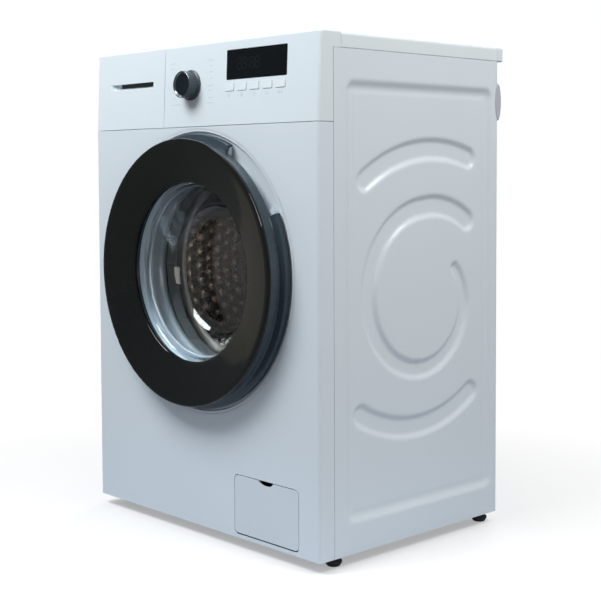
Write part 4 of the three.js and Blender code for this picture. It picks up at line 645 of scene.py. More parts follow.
def finger_pull(name, grow):
    """The room of the pull; grown by the wall it is the pocket moulded round it."""
    face, deep = front_plane - 0.003, front_plane + 0.013 + grow
    lip, roof = front_plane + 0.0063, pull_top + 0.006 + grow
    left, top = pull_left - grow, pull_top + grow
    right, foot = pull_left + facet_long + grow, pull_foot - 0.0165 - grow
    wedge = prism(name, [
        (face, pull_foot - 0.001 - grow), (front_plane, pull_foot - grow),
        (deep, pull_top - 0.0072 - grow), (deep, roof), (lip, roof), (lip, top), (face, top),
    ], left, pull_right + grow, "X")
    carve(wedge, prism("fade", [
        (left - 0.001, front_plane - 0.004), (left, front_plane), (left + facet_long, deep),
        (left - 0.001, deep + 0.001),
    ], pull_foot - 0.02, pull_top + 0.02, "Z"))
    carve(wedge, hull("corner", [
        (left, face, top), (left, front_plane + 0.002, top),
        (left, face, foot), (left, front_plane + 0.002 + grow, foot),
        (right, face, top), (right, face, pull_foot - grow),
        (right, front_plane + 0.010 + grow, top),
        (right, front_plane + 0.010 + grow, pull_top - grow - 0.001),
    ]), "UNION")
    return wedge


def left_end(name, inset):
    """The part of the fascia's form that belongs to the drawer."""
    piece = fascia_blank(name, inset)
    carve(piece, block("left", (-wide, before, under),
                       (drawer_high.x - inset, drawer_high.y + (0.01 if inset else 0.0), over)),
          "INTERSECT")
    return piece


drawer_front = left_end("drawer_moulding", 0.0)
carve(drawer_front, left_end("hollow", mould_wall))
pocket = finger_pull("pocket", 0.0018)
carve(pocket, left_end("outside", 0.0), "INTERSECT")
carve(drawer_front, pocket, "UNION")
carve(drawer_front, finger_pull("room", 0.0))
soften(drawer_front)
dress(drawer_front, "drawer", "white_plastic", white_plastic, "drawer_front")
# A near black strip set in the pocket behind the pull's lip, up under its roof: painted shade for
# the dark slot under the lip.
pull_shade_sheet = prism("pull_lining", [
    (front_plane + 0.0127, pull_foot + 0.0045), (front_plane + 0.0127, pull_top + 0.0055),
    (front_plane + 0.0065, pull_top + 0.0055), (front_plane + 0.0065, pull_top + 0.0050),
    (front_plane + 0.0121, pull_top + 0.0050), (front_plane + 0.0121, pull_foot + 0.0045),
], pull_left + 0.030, pull_right - 0.0004, "X")
soften(pull_shade_sheet, 0.0001)
painted_pull_shade = coated("pull_lining_dark", (0.022, 0.032, 0.040), 0.45, 1500.0, 0.04)
dress(pull_shade_sheet, "drawer", "white_plastic", painted_pull_shade)

# -------- display
# A window of smoked acrylic, nearly black, set flush in the fascia. The unlit segments of the
# time readout behind it show faintly.


def gloss_plastic(name, colour, roughness, waves, specular=0.5):
    """High gloss moulding: nearly a mirror, with slow sink marks, faint wipe marks and dust."""
    finish = Finish(name, colour, roughness, Specular_IOR_Level=specular)
    sink = finish.noise(14.0, 1.0)
    wipe = finish.noise(60.0, 6.0, Distortion=1.4)
    dusty = [min(1.0, part * 1.5 + 0.003) for part in colour]
    finish.drive(Roughness=finish.spread(wipe, roughness, roughness + 0.07, 0.35, 0.75),
                 Base_Color=finish.mix(wipe, colour, dusty))
    finish.relief(sink, waves, 0.002)
    return finish.material


smoked = gloss_plastic("display_black", (0.0015, 0.0030, 0.0040), 0.05, 0.02, 0.20)
window = lean_back(round_edges(prism("display_pane", rounded(
    display_middle - display_half, display_middle + display_half,
    display_foot, display_foot + display_tall, 0.0015),
    front_plane + 0.0002, front_plane + 0.0024), 0.0003, 2,
    lambda a, b: a.y < front_plane + 0.001 and b.y < front_plane + 0.001))
smooth(window)
dress(window, "cabinet", "display_black", smoked, "display_window")


def join_all(name, pieces):
    """Makes one object of several pieces."""
    take(pieces[0])
    for piece in pieces:
        piece.select_set(True)
    bpy.ops.object.join()
    return named(name)


inlaid, printed = -0.00017, 0.00004


def flat_bar(x, z, wide_by, high_by, proud=printed):
    """A bar that is printed a hair above the face, or inlaid a little below it."""
    return prism("bar", rounded(x - wide_by / 2, x + wide_by / 2, z - high_by / 2,
                                z + high_by / 2, min(wide_by, high_by) * 0.3, 2),
                 front_plane - proud, front_plane + 0.0003)


digit_wide, digit_tall, digit_bar, bar_gap = 0.0095, 0.0180, 0.0016, 0.0024
middle_z = display_foot + 0.0255
segments = []
for x in (-0.0260, -0.0130, 0.0050, 0.0180):
    middle_x = display_middle - 0.016 + x
    for level_z in (-0.5, 0.0, 0.5):
        segments.append(flat_bar(middle_x, middle_z + level_z * digit_tall,
                                 digit_wide - bar_gap, digit_bar, inlaid))
    for side_x in (-0.5, 0.5):
        for level_z in (-0.25, 0.25):
            segments.append(flat_bar(middle_x + side_x * digit_wide,
                                     middle_z + level_z * digit_tall, digit_bar,
                                     digit_tall / 2 - bar_gap, inlaid))
for level_z in (-0.004, 0.004):
    segments.append(flat_bar(display_middle - 0.020, middle_z + level_z, 0.0018, 0.0018, inlaid))
readout = lean_back(join_all("display_segments", segments))
unlit = gloss_plastic("display_unlit", (0.007, 0.010, 0.011), 0.07, 0.02, 0.27)
dress(readout, "cabinet", "display_black", unlit)

# -------- buttons
# Five caps of the fascia's plastic on a row of microswitches, each with its stem and the flange
# that keeps it behind the face. Plain signs are printed under them in pale grey.


def copied(name, source, move=(0.0, 0.0, 0.0)):
    """Another of a piece, with a mesh of its own, moved by some distance."""
    piece = bpy.data.objects.new(name, source.data.copy())
    bring_in(piece)
    piece.data.transform(Matrix.Translation(move))
    return piece


def cover(name, source, body, slot, material, width=0.0006, segments=2, degrees=35.0):
    """Covers a CAD node with its own shape as one clean mesh with broken edges."""
    piece = copied(name, node[source])
    break_edges(piece, width, segments, degrees, 0.00001, 0.4)
    smooth(piece)
    dress(piece, body, slot, material, source)


button_plastic = coated("button_plastic", (0.76, 0.83, 0.87), 0.26, 1600.0, 0.02)
for index in buttons:
    cover(f"button_cap_{index}", f"button_{index}", f"key_{index}", "button_plastic",
          button_plastic, width=0.0005, segments=3)
sign_height = fascia_foot + 0.0490


def ring_mark(x, outer, inner, steps=28, drop=0.0):
    """A printed ring, as a flat band with a hole."""
    z = sign_height - drop
    ring = prism("ring", oval(x, z, outer, outer, steps), front_plane - printed,
                 front_plane + 0.0003)
    carve(ring, prism("hole", oval(x, z, inner, inner, steps), front_plane - 0.001,
                      front_plane + 0.001))
    return ring


def sign_bars(x, bars):
    """Printed bars round a button's middle, each given as its place and size in millimetres."""
    return [flat_bar(x + right / 1000, sign_height + up / 1000, wide_by / 1000, high_by / 1000)
            for right, up, wide_by, high_by in bars]


power, rinse, timer, spin, start = button_places
signs = sign_bars(power, [(-2.0, 1.0, 0.9, 5.5)])
signs += [ring_mark(power - 0.002, 0.0014, 0.0007, 16, drop=0.0028)]
signs += sign_bars(power, [(1.5, up, 3.0, 0.6) for up in (-2.0, 0.0, 2.0)])
signs += [ring_mark(rinse, 0.0034, 0.0026), ring_mark(rinse, 0.0014, 0.0007, 16),
          ring_mark(timer, 0.0034, 0.0028)]
signs += sign_bars(timer, [(0.0, 1.0, 0.6, 2.2), (0.8, 0.0, 1.6, 0.6)])
signs += sign_bars(spin, [(0.0, -2.0, 7.5, 0.7), (0.0, 1.6, 5.0, 0.7), (-3.4, -0.3, 0.7, 3.0),
                          (3.4, -0.3, 0.7, 3.0)])
signs += [prism("arrow", [(start - 0.0045, sign_height - 0.0024), (start - 0.0005, sign_height),
                          (start - 0.0045, sign_height + 0.0024)],
                front_plane - printed, front_plane + 0.0003)]
signs += sign_bars(start, [(2.0, 0.0, 1.0, 4.6), (4.2, 0.0, 1.0, 4.6)])
for x, z, long in ((-0.0690, 0.1110, 0.015), (-0.0710, 0.1015, 0.009), (-0.0655, 0.0600, 0.007),
                   (-0.0640, 0.0500, 0.012), (-0.0590, 0.0390, 0.026), (0.0345, 0.1110, 0.018),
                   (0.0360, 0.1020, 0.010), (0.0365, 0.0912, 0.012), (0.0370, 0.0806, 0.009),
                   (0.0355, 0.0685, 0.013), (0.0350, 0.0600, 0.009), (0.0360, 0.0480, 0.011),
                   (0.0350, 0.0390, 0.016)):
    dashes = max(1, round(long / 0.0065))
    share = long / dashes
    signs += [flat_bar(x - long / 2 + (dash + 0.5) * share, fascia_foot + z, share - 0.0012,
                       0.0011) for dash in range(dashes)]
ink = coated("printed_grey", (0.52, 0.58, 0.62), 0.5, 2000.0, 0.02)
dress(lean_back(join_all("fascia_print", signs)), "cabinet", "white_plastic", ink)

# -------- programme knob
# A dark moulded knob with a fluted grip, a dished face and a fine bright ring round its lip. It
# turns on the spindle of the selector and stands on a low skirt.
knob_low, knob_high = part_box("program_knob")
knob_middle = Vector(((knob_low.x + knob_high.x) / 2, 0.0, fascia_foot + 0.071))
flutes, flute_depth = 40, 0.0009
knob = turned("knob_grip", behind([
    (0.0, -19.0), (19.0, -19.0), (21.9, -22.2), (22.2, -22.3), (22.7, -21.9), (23.0, -20.8),
    (23.0, -5.4), (23.3, -4.4), (25.3, -3.4), (25.8, -3.0), (26.0, -2.3), (26.0, -0.4),
    (25.6, -0.3), (4.0, -0.3), (4.0, 13.4), (3.4, 14.0), (0.0, 14.0),
]), steps=120, middle=knob_middle)
for vertex in knob.data.vertices:
    out = vertex.co - knob_middle
    depth, out.y = out.y - front_plane, 0.0
    if out.length > 0.0226 and -0.0215 < depth < -0.0048:
        turn = math.atan2(out.z, out.x) * flutes
        vertex.co -= out.normalized() * flute_depth * (0.5 + 0.5 * math.cos(turn))
lean_back(knob)
smooth(knob, 50.0)
knob_plastic = coated("knob_plastic", (0.033, 0.050, 0.064), 0.36, 1500.0, 0.05, 0.2)
dress(knob, "selector", "knob_plastic", knob_plastic, "program_knob")
bright_ring = Finish("bright_ring", (0.24, 0.26, 0.28), 0.28, 1.0)
bright_ring.drive(Roughness=bright_ring.spread(bright_ring.noise(500.0, 3.0), 0.16, 0.32))
knob_gloss = gloss_plastic("knob_face_black", (0.004, 0.0075, 0.0105), 0.12, 0.02, 0.25)
for name, material, profile in (
    ("knob_bright_ring", bright_ring.material, [
        (19.1, -19.1), (19.1, -19.7), (21.6, -22.4), (22.0, -22.5), (22.3, -22.3),
        (22.2, -22.1), (21.9, -22.2)]),
    ("knob_face", knob_gloss, [
        (0.0, -18.9), (0.0, -19.3), (10.0, -19.4), (18.0, -19.9), (18.9, -19.8), (19.0, -19.1),
        (18.8, -18.9)]),
):
    piece = turned(name, behind(profile), steps=120, middle=knob_middle)
    dress(lean_back(piece), "selector", "knob_plastic", material)

# -------- worktop
# A board faced with white laminate, rounded along its top edges, with a moulded strip across the
# rear end. It slides in behind the fascia and is screwed down from the back.
top_low, top_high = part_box("worktop")
strip_start = top_low.y + 0.389


def rounded_board(name, low, high, ends_at_rear):
    """A board with a broad round on its top edges and a fine one on its bottom edges."""
    piece = block(name, low, high)
    middle, front, rear = (low.z + high.z) / 2, low.y + 0.0005, high.y - 0.001
    if ends_at_rear:
        round_edges(piece, 0.0070, 6, lambda a, b: abs(a.z - b.z) > 0.01 and a.y > rear)

    def outer(a, b):
        return ((a.y > front or b.y > front) and (ends_at_rear or a.y < rear or b.y < rear)
                and (abs(a.x - b.x) < 0.05 or a.y > rear))

    round_edges(piece, 0.0075, 8, lambda a, b: a.z > middle and b.z > middle and outer(a, b))
    foot = low.z + 0.0001
    round_edges(piece, 0.0018, 3, lambda a, b: a.z < foot and b.z < foot and outer(a, b))
    smooth(piece, 40.0)
    return piece


laminate = coated("worktop_laminate", (0.73, 0.80, 0.83), 0.36, 700.0, 0.05, 0.15)
board = rounded_board("worktop_board", top_low, Vector((top_high.x, strip_start, top_high.z)),
                      False)
strip = rounded_board("worktop_rear_strip", Vector((top_low.x, strip_start + 0.0004, top_low.z)),
                      top_high, True)
dress(board, "cabinet", "worktop_laminate", laminate, "worktop")
dress(strip, "cabinet", "worktop_laminate", white_plastic, "worktop")

# -------- door glass and trim
# The door is a moulded slate frame with a gloss black ring snapped over its front. The frame and
# the inner ring clamp a pressed glass bowl by its flange, and the finger grip is cut in the rim.


def spline(points, steps):
    """A smooth run of points that passes through the given ones."""
    points = [Vector(point) for point in points]
    ends = [2 * points[0] - points[1], *points, 2 * points[-1] - points[-2]]
    run = []
    for before, a, b, after in zip(ends, ends[1:], ends[2:], ends[3:]):
        for step in range(steps):
            t = step / steps
            run.append(a + 0.5 * t * (b - before + t * (2 * before - 5 * a + 4 * b - after
                                                        + t * (3 * (a - b) + after - before))))
    return [*run, points[-1]]


def walled(path, wall):
    """The closed outline of a wall of even thickness along a path."""
    path = [Vector(point) for point in path]
    other = []
    for index, point in enumerate(path):
        along = (path[min(index + 1, len(path) - 1)] - path[max(index - 1, 0)]).normalized()
        other.append(point + wall * Vector((-along.y, along.x)))
    on_axis = 0.0015
    return [(radius if radius > on_axis else 0.0, along)
            for radius, along in (*path, *reversed(other))]


def grip_room(start, end, inner, outer, near, far):
    """A block that covers part of the door's rim, between two angles in degrees."""
    turn = math.radians(start)
    piece = outlined("grip", [
        (radius * math.cos(turn), front_plane + depth, axis_height + radius * math.sin(turn))
        for radius, depth in ((inner, near), (outer, near), (outer, far), (inner, far))])
    bpy.ops.mesh.spin(steps=30, angle=math.radians(end - start), axis=(0.0, 1.0, 0.0),
                      center=(0.0, front_plane, axis_height))
    close_mesh()
    return piece


gloss_black = gloss_plastic("gloss_black", (0.0048, 0.0060, 0.0056), 0.045, 0.04, 0.27)
door_ring = turned("door_trim_ring", behind([
    (227.6, -34.2), (227.6, -37.2), (226.9, -39.0), (225.4, -39.9), (223.0, -40.0),
    (217.0, -39.2), (190.0, -32.6), (158.5, -24.0), (155.2, -22.7), (153.3, -20.8), (153.0, -17.2),
    (154.0, -17.0), (217.0, -35.0), (217.0, -34.2),
]))
dress(door_ring, "door", "gloss_black", gloss_black, "door_ring")

slate = gloss_plastic("slate_plastic", (0.028, 0.043, 0.056), 0.16, 0.05)
door_frame = turned("door_moulded_frame", behind([
    (235.0, 1.0), (235.0, -8.0), (234.6, -9.2), (233.5, -9.9), (226.0, -11.3), (223.4, -12.4),
    (222.4, -14.6), (221.6, -25.0), (221.0, -33.3), (220.0, -33.7), (216.0, -33.7), (200.0, -29.6),
    (157.0, -17.9), (157.0, -8.3), (160.0, -8.3), (160.0, -15.8), (201.0, -26.8), (216.5, -30.8),
    (218.2, -30.5), (218.9, -24.0), (219.6, -14.0), (221.0, -10.6), (224.5, -8.7), (231.5, -7.4),
    (232.2, -6.0), (232.2, 1.0),
]))
carve(door_frame, grip_room(26.5, 66.0, 0.2222, 0.2400, -0.0135, 0.0060))
hinge_low, hinge_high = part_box("door_hinge")
carve(door_frame, block("hinge_room", (-0.2450, front_plane - 0.0295, hinge_low.z - 0.004),
                        (-0.2060, front_plane + 0.0060, hinge_high.z + 0.004)))
smooth(door_frame)
dress(door_frame, "door", "slate_plastic", slate, "door_frame")

# Shadow rays pass straight through the glass, so that the lamps reach the seal and the drum.
glass = Finish("door_glass", (0.93, 0.97, 0.98), 0.015, Transmission_Weight=1.0, IOR=1.5)
glass.relief(glass.noise(22.0, 1.5), 0.10, 0.002)
clear = glass.add("BsdfTransparent", Color=(0.90, 0.95, 0.96))
glass.end("Material Output", glass.add("MixShader",
                                       glass.add("LightPath").outputs["Is Shadow Ray"],
                                       glass.shader.outputs[0], clear.outputs[0]))
bowl = spline(behind([
    (176.0, -8.0), (162.0, -8.0), (153.5, -7.0), (149.3, -3.0), (147.0, 4.0), (139.4, 22.0),
    (131.6, 40.0), (126.0, 52.0), (119.4, 61.0), (110.0, 67.5), (98.0, 70.6), (60.0, 72.8),
    (25.0, 73.8), (0.0, 74.0),
]), 4)
door_glass = turned("door_glass_bowl", walled(bowl, -0.0040), steps=128)
dress(door_glass, "door", "door_glass", glass.material, "door_glass")

grey_plastic = coated("grey_plastic", (0.66, 0.75, 0.84), 0.46, 1300.0, 0.06, 0.2)
cover("door_inner_clamp", "door_inner_ring", "door", "grey_plastic", grey_plastic, width=0.0005)

# -------- door seal
# Moulded grey rubber: a lip that seals on the glass, a trough and a bellows fold, and a cuff
# that is clamped round the mouth of the tub. The folds let the tub move behind the door.
seal_rubber = Finish("seal_rubber", (0.46, 0.50, 0.54), 0.42)
bloom = seal_rubber.noise(38.0, 6.0)
# From 17 mm behind the front to 48 mm, the rubber is mixed towards dark grey: painted shade in the
# deep folds towards the drum.
depth = seal_rubber.add("SeparateXYZ", seal_rubber.place).outputs["Y"]
shaded = seal_rubber.spread(depth, 0.0, 1.0, front_plane + 0.017, front_plane + 0.048)
mottled = seal_rubber.mix(bloom, (0.55, 0.59, 0.65), (0.68, 0.75, 0.84))
seal_rubber.drive(Base_Color=seal_rubber.mix(shaded, mottled, (0.20, 0.23, 0.26)),
                  Roughness=seal_rubber.spread(bloom, 0.30, 0.55))
seal_rubber.relief(seal_rubber.noise(1400.0, 2.0), 0.12, 0.0005)
seal = turned("door_seal_bellows", walled(spline(behind([
    (151.2, 8.2), (152.0, 10.0), (158.0, 12.6), (164.0, 14.6), (168.4, 17.6), (169.6, 22.0),
    (170.4, 27.0), (175.5, 30.6), (180.4, 34.4), (176.0, 38.6), (167.0, 42.2), (163.2, 46.0),
    (164.0, 51.0), (170.0, 54.4), (175.0, 57.6), (175.4, 64.0), (175.3, 77.0),
]), 4), 0.0026))
folds = ("cabinet", "tub", (0.0, front_plane + 0.018, axis_height),
         (0.0, front_plane + 0.054, axis_height))
dress(seal, folds, "seal_rubber", seal_rubber.material, "gasket")

# -------- drum and paddles
# A rolled cylinder of stainless sheet with drawn ends. Its wall is embossed all over with round
# bosses that have a drain hole between them, and three hollow paddles are clipped inside.
rows_round, boss_pitch, row_pitch, boss_reach = 58, 0.0256, 0.0443, 0.0118
drain_radius, hole_black = 0.0019, (0.004, 0.004, 0.004)
wall_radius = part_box("drum")[1].x
# The steel's colour is tinted warm brown: partly the steel's own grey, partly a painted reflection
# of warm surroundings.
steel_and_painted_reflection_tone = (0.38, 0.35, 0.32)


def emboss(piece, tall):
    """Raises the bosses of the basket towards its inside, on the round wall and on the back."""
    def ramp(distance):
        return np.clip(distance / 0.006, 0.0, 1.0)

    def domes(along_u, along_v):
        nearest = np.full(along_u.shape, 1.0)
        for shift in (0.0, 0.5):
            off_u = ((along_u / boss_pitch + shift + 0.5) % 1.0 - 0.5) * boss_pitch
            off_v = ((along_v / row_pitch + shift + 0.5) % 1.0 - 0.5) * row_pitch
            nearest = np.minimum(nearest, np.hypot(off_u, off_v))
        return np.clip(1.0 - (nearest / boss_reach) ** 2, 0.0, 1.0) ** 1.5

    x, y, z = points_of(piece)
    y, z = y - front_plane, z - axis_height
    radius = np.hypot(x, z)
    girth = np.arctan2(z, x) / (2 * math.pi) * rows_round * boss_pitch
    wall = domes(girth, y) * (radius > wall_radius - 0.003) * ramp(y - 0.112) * ramp(0.308 - y)
    back = domes(x, z) * (y > 0.326) * ramp(0.214 - radius)
    share = 1.0 - tall * wall / np.maximum(radius, 0.01)
    move_points(piece, x * share, y - tall * back + front_plane, z * share + axis_height)


def basket_steel():
    """Brushed stainless sheet with a dark drain hole between the bosses of the wall and back."""
    finish = Finish("drum_steel", steel_and_painted_reflection_tone, 0.20, 1.0)
    maths = finish.sum_of
    apart = finish.add("SeparateXYZ", finish.place).outputs
    depth = maths("SUBTRACT", apart["Y"], front_plane)
    rise = maths("SUBTRACT", apart["Z"], axis_height)
    girth = maths("MULTIPLY", maths("ARCTAN2", rise, apart["X"]),
                  rows_round * boss_pitch / (2 * math.pi))

    def holes(along_u, along_v):
        spots = None
        for shift in (0.5, 1.0):
            squares = []
            for along, pitch in ((along_u, boss_pitch), (along_v, row_pitch)):
                cell = maths("FRACT", maths("MULTIPLY_ADD", along, 1.0 / pitch, shift + 8.0))
                off = maths("MULTIPLY", maths("SUBTRACT", cell, 0.5), pitch)
                squares.append(maths("MULTIPLY", off, off))
            reach = maths("SQRT", maths("ADD", *squares))
            spots = maths("MINIMUM", spots, reach) if spots else reach
        return maths("LESS_THAN", spots, drain_radius)

    across = maths("SQRT", maths("ADD", maths("MULTIPLY", apart["X"], apart["X"]),
                                 maths("MULTIPLY", rise, rise)))
    on_wall = maths("GREATER_THAN", across, wall_radius - 0.006)
    on_back = maths("MULTIPLY", maths("LESS_THAN", across, 0.212),
                    maths("GREATER_THAN", depth, 0.320))
    holed = maths("MAXIMUM", maths("MULTIPLY", holes(girth, depth), on_wall),
                  maths("MULTIPLY", holes(apart["X"], rise), on_back))
    strokes = finish.add("Mapping", finish.place, Scale=(120.0, 900.0, 120.0))
    brushed = finish.add("TexNoise", Vector=strokes.outputs[0], Scale=1.0,
                         Detail=4.0).outputs["Fac"]
    rubbed = maths("MULTIPLY", maths("LESS_THAN", depth, 0.108), 0.5)
    finish.drive(Base_Color=finish.mix(holed, steel_and_painted_reflection_tone, hole_black),
                 Roughness=maths("MAXIMUM", finish.spread(brushed, 0.18, 0.36), rubbed))
    finish.relief(brushed, 0.12, 0.0003)
    return finish.material


def runs(points, step):
    """Extra points along the straight runs of a profile, so that it can be embossed."""
    dense = [points[0]]
    for (r0, y0), (r1, y1) in zip(points, points[1:]):
        count = max(1, round(math.hypot(r1 - r0, y1 - y0) / step))
        dense += [(r0 + (r1 - r0) * i / count, y0 + (y1 - y0) * i / count)
                  for i in range(1, count + 1)]
    return dense


drum = turned("drum_basket", walled(behind(runs([
    (0.0, 333.0), (215.0, 333.0), (226.0, 331.0), (233.5, 325.0), (236.0, 315.0),
    (236.0, 110.0), (234.0, 100.0), (227.0, 93.4), (216.0, 92.0), (167.0, 92.0), (162.6, 94.0),
    (160.4, 97.4), (160.0, 100.0),
], 4.6)), -0.0015), steps=300)
emboss(drum, 0.0030)
smooth(drum, 60.0)
dress(drum, "drum", "drum_steel", basket_steel(), "drum")
paddle_plastic = coated("paddle_plastic", (0.075, 0.080, 0.090), 0.20, 700.0, 0.03, 0.15)
for index in (1, 2, 3):
    cover(f"paddle_{index}", f"lifter_{index}", "drum", "grey_plastic", paddle_plastic,
          width=0.0045, segments=4)

# -------- tub, weight and heater
# Two shells of glass filled plastic, welded at a rim, hold the water round the drum. A cast
# weight is bolted to the front shell, and a tubular heater lies in the well at the bottom.

# Grain of a bare metal skin: cells or crystals that differ in gloss, over a fine tooth.
grain = Effect("metal_grain", {"Place": "Vector", "Roughness": "Float", "Grain Scale": "Float",
                               "Colour": "Color", "Contrast": "Float"}, skin_outputs)
given = grain.given
crystals = grain.add("TexVoronoi", Vector=given["Place"], Scale=given["Grain Scale"])
tooth = grain.add("TexNoise", Vector=given["Place"], Scale=given["Grain Scale"], Detail=5.0)
shade = grain.add("SeparateColor", crystals.outputs["Color"]).outputs
tone = grain.add("HueSaturation", Color=given["Colour"],
                 Value=grain.sum_of("MULTIPLY_ADD", shade[1], given["Contrast"], 0.92))
grain.fill(grain.result, Colour=tone.outputs["Color"], Height=tooth.outputs["Fac"],
           Roughness=grain.sum_of("MULTIPLY_ADD", shade[0], given["Contrast"],
                                  given["Roughness"]))


def bare_metal(name, colour, roughness, grain_scale, relief, contrast=0.2, metallic=1.0):
    """Metal without paint: zinc, cast or drawn, told apart by its grain."""
    return Finish(name, colour, roughness, metallic).wear(
        grain, relief, Colour=colour, Roughness=roughness, Grain_Scale=grain_scale,
        Contrast=contrast)


paint(coated("tub_plastic", (0.13, 0.14, 0.15), 0.48, 420.0, 0.12, 0.3), "tub_front", "tub_rear")
paint(bare_metal("cast_weight", (0.085, 0.085, 0.088), 0.62, 260.0, 0.5, 0.25, 0.6),
      "counterweight")
steel_wire = bare_metal("steel_wire", (0.52, 0.52, 0.53), 0.26, 900.0, 0.10, 0.15)
paint(steel_wire, "heater")

# -------- drive
# A cast spider carries the drum on a shaft that turns in the hub of the rear shell. A ribbed belt
# runs from the pulley on the shaft to the small pulley of the motor under the tub.
paint(bare_metal("cast_spider", (0.50, 0.51, 0.52), 0.42, 520.0, 0.30), "spider", "drum_pulley")
paint(steel_wire, "bearing_hub", "motor_pulley")
rubber = Finish("black_rubber", (0.014, 0.014, 0.015), 0.62)
chalk = rubber.noise(90.0, 7.0)
rubber.drive(Base_Color=rubber.mix(chalk, (0.010, 0.010, 0.011), (0.026, 0.026, 0.027)),
             Roughness=rubber.spread(chalk, 0.5, 0.8))
rubber.relief(chalk, 0.2, 0.0006)
black_rubber = rubber.material
paint(black_rubber, "belt")
paint(bare_metal("motor_body", (0.16, 0.165, 0.17), 0.44, 700.0, 0.20, 0.2, 0.7), "motor")

# -------- suspension and sump hose
# The tub hangs from two coil springs and stands on two friction dampers, so it can swing while
# it spins. A moulded rubber hose joins its well to the drain pump.
black_plastic = coated("black_plastic", (0.018, 0.019, 0.020), 0.45, 1300.0, 0.06, 0.25)
for side in ("left", "right"):
    low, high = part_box(f"spring_{side}")
    cover(f"tub_spring_{side}", f"spring_{side}",
          ("cabinet", "tub", (0.0, 0.0, high.z - 0.012), (0.0, 0.0, low.z + 0.012)),
          "steel_wire", steel_wire, width=0.0)
    paint(steel_wire, f"damper_rod_{side}")
    paint(black_plastic, f"damper_cylinder_{side}")
low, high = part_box("sump_hose")
cover("sump_bellows", "sump_hose",
      ("cabinet", "tub", (0.0, 0.0, low.z + 0.022), (0.0, 0.0, high.z - 0.022)),
      "black_rubber", black_rubber)

# -------- detergent drawer and its housing
# A white moulded tray with three compartments slides in a housing under the worktop, which
# sprays water through its roof and drains into the tub.
tray_plastic = coated("tray_plastic", (0.66, 0.72, 0.76), 0.36, 1100.0, 0.05, 0.15)
cover("detergent_tray", "drawer_tray", "drawer", "tray_plastic", tray_plastic, width=0.0007,
      segments=3)
paint(coated("housing_plastic", (0.40, 0.42, 0.43), 0.5, 800.0, 0.08, 0.2), "dispenser_housing")

# -------- control board
# A green board on posts behind the fascia, with the display block, a microswitch under each
# button and the encoder that takes the knob's spindle.
lacquer = (0.010, 0.075, 0.032)
board = Finish("board_green", lacquer, 0.30)
upright = board.add("Mapping", board.place, Rotation=(math.pi / 2, 0.0, 0.0),
                    Scale=(260.0, 260.0, 260.0))
tracks = board.add("TexBrick", Vector=upright.outputs[0], Scale=1.0, Color1=lacquer,
                   Color2=(0.014, 0.090, 0.040), Mortar=(0.035, 0.150, 0.070)).outputs
board.drive(Base_Color=tracks["Color"])
board.relief(tracks["Fac"], 0.3, 0.0003)
paint(board.material, "control_board")

# -------- door hinge, hook and lock
# A zinc plated hinge in a notch of the frame, and a spring loaded hook that drops into the lock
# behind the dish.
zinc_sheet = bare_metal("zinc_sheet", (0.56, 0.58, 0.59), 0.30, 140.0, 0.06, 0.25)
cover("door_hinge_plate", "door_hinge", "cabinet", "zinc_sheet", zinc_sheet, segments=3)
cover("door_hook", "latch_hook", "latch", "zinc_sheet", zinc_sheet, width=0.0005, segments=3)
paint(black_plastic, "door_lock")

# -------- filter flap, pump and filter
# A small door of white plastic that tips out on two pins, with a finger notch in its top edge.
# Behind it is the drain pump with its screw-in lint filter.
flap_plastic = coated("flap_plastic", (0.665, 0.730, 0.775), 0.33, 1500.0, 0.02)
cover("filter_flap_cover", "filter_flap", "flap", "white_plastic", flap_plastic, width=0.0005,
      segments=3)
cover("filter_plug", "filter_cap", "filter", "grey_plastic", grey_plastic, width=0.0007,
      segments=3)
paint(grey_plastic, "pump_housing")

# -------- base, brace and feet
# A moulded tray closes the bottom and takes the loads. A zinc plated channel ties the side panels
# under the worktop. The machine stands on four rubber feet that screw in and out.
paint(coated("base_plastic", (0.22, 0.235, 0.245), 0.55, 600.0, 0.12, 0.3), "base_tray")
paint(zinc_sheet, "top_brace")
foot_steel = bare_metal("foot_steel", (0.42, 0.43, 0.44), 0.34, 700.0, 0.10)


def thread(start, ridges, pitch, core, crest, slope):
    """Profile points of a thread: ridges in a row with flat tops, from core to crest radius."""
    points, flat_top = [], 0.0003
    for ridge in range(ridges):
        foot = start + ridge * pitch
        top = foot + slope + flat_top
        points += [(core, foot), (crest, foot + slope), (crest, top), (core, top + slope)]
    return points


origin = (0.0, 0.0, 0.0)
foot_pad = turned("foot_pad", [
    (0.0, 0.0), (0.0098, 0.0), (0.0104, 0.0004), (0.0112, 0.0016), (0.0134, 0.0046),
    (0.0139, 0.0060), (0.0139, 0.0084), (0.0134, 0.0094), (0.0108, 0.0116), (0.0100, 0.0120),
    (0.0, 0.0120),
], steps=48, middle=origin, upright=True)
stud_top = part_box("foot_1")[1].z
foot_stud = turned("foot_stud", [
    (0.0, 0.0122), (0.0034, 0.0122), *thread(0.0124, 20, 0.00172, 0.0034, 0.0040, 0.0006),
    (0.0030, stud_top), (0.0, stud_top),
], steps=24, middle=origin, upright=True)
foot_nut = prism("foot_nut", oval(0.0, 0.0, 0.0090, 0.0090, 6), 0.0131, 0.0200, "Z")
carve(foot_nut, prism("bore", oval(0.0, 0.0, 0.0042, 0.0042, 24), 0.010, 0.025, "Z"))
soften(foot_nut)


def repeat(patterns, places, body, slot):
    """Puts a copy of each pattern at each place, with its number where a name has {}. The
    patterns, given with their materials and CAD nodes, are taken away."""
    for index, place in enumerate(places, 1):
        for pattern, material, *nodes in patterns:
            dress(copied(f"{pattern.name}_{index}", pattern, place), body.format(index), slot,
                  material, *(name.format(index) for name in nodes))
    for pattern, *_ in patterns:
        bpy.data.objects.remove(pattern, do_unlink=True)


stands = [((low.x + high.x) / 2, (low.y + high.y) / 2, 0.0)
          for low, high in (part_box(f"foot_{index}") for index in (1, 2, 3, 4))]
repeat([(foot_pad, black_rubber, "foot_{}"), (foot_stud, foot_steel, "foot_{}"),
        (foot_nut, foot_steel)], stands, "levelling_foot_{}", "black_rubber")

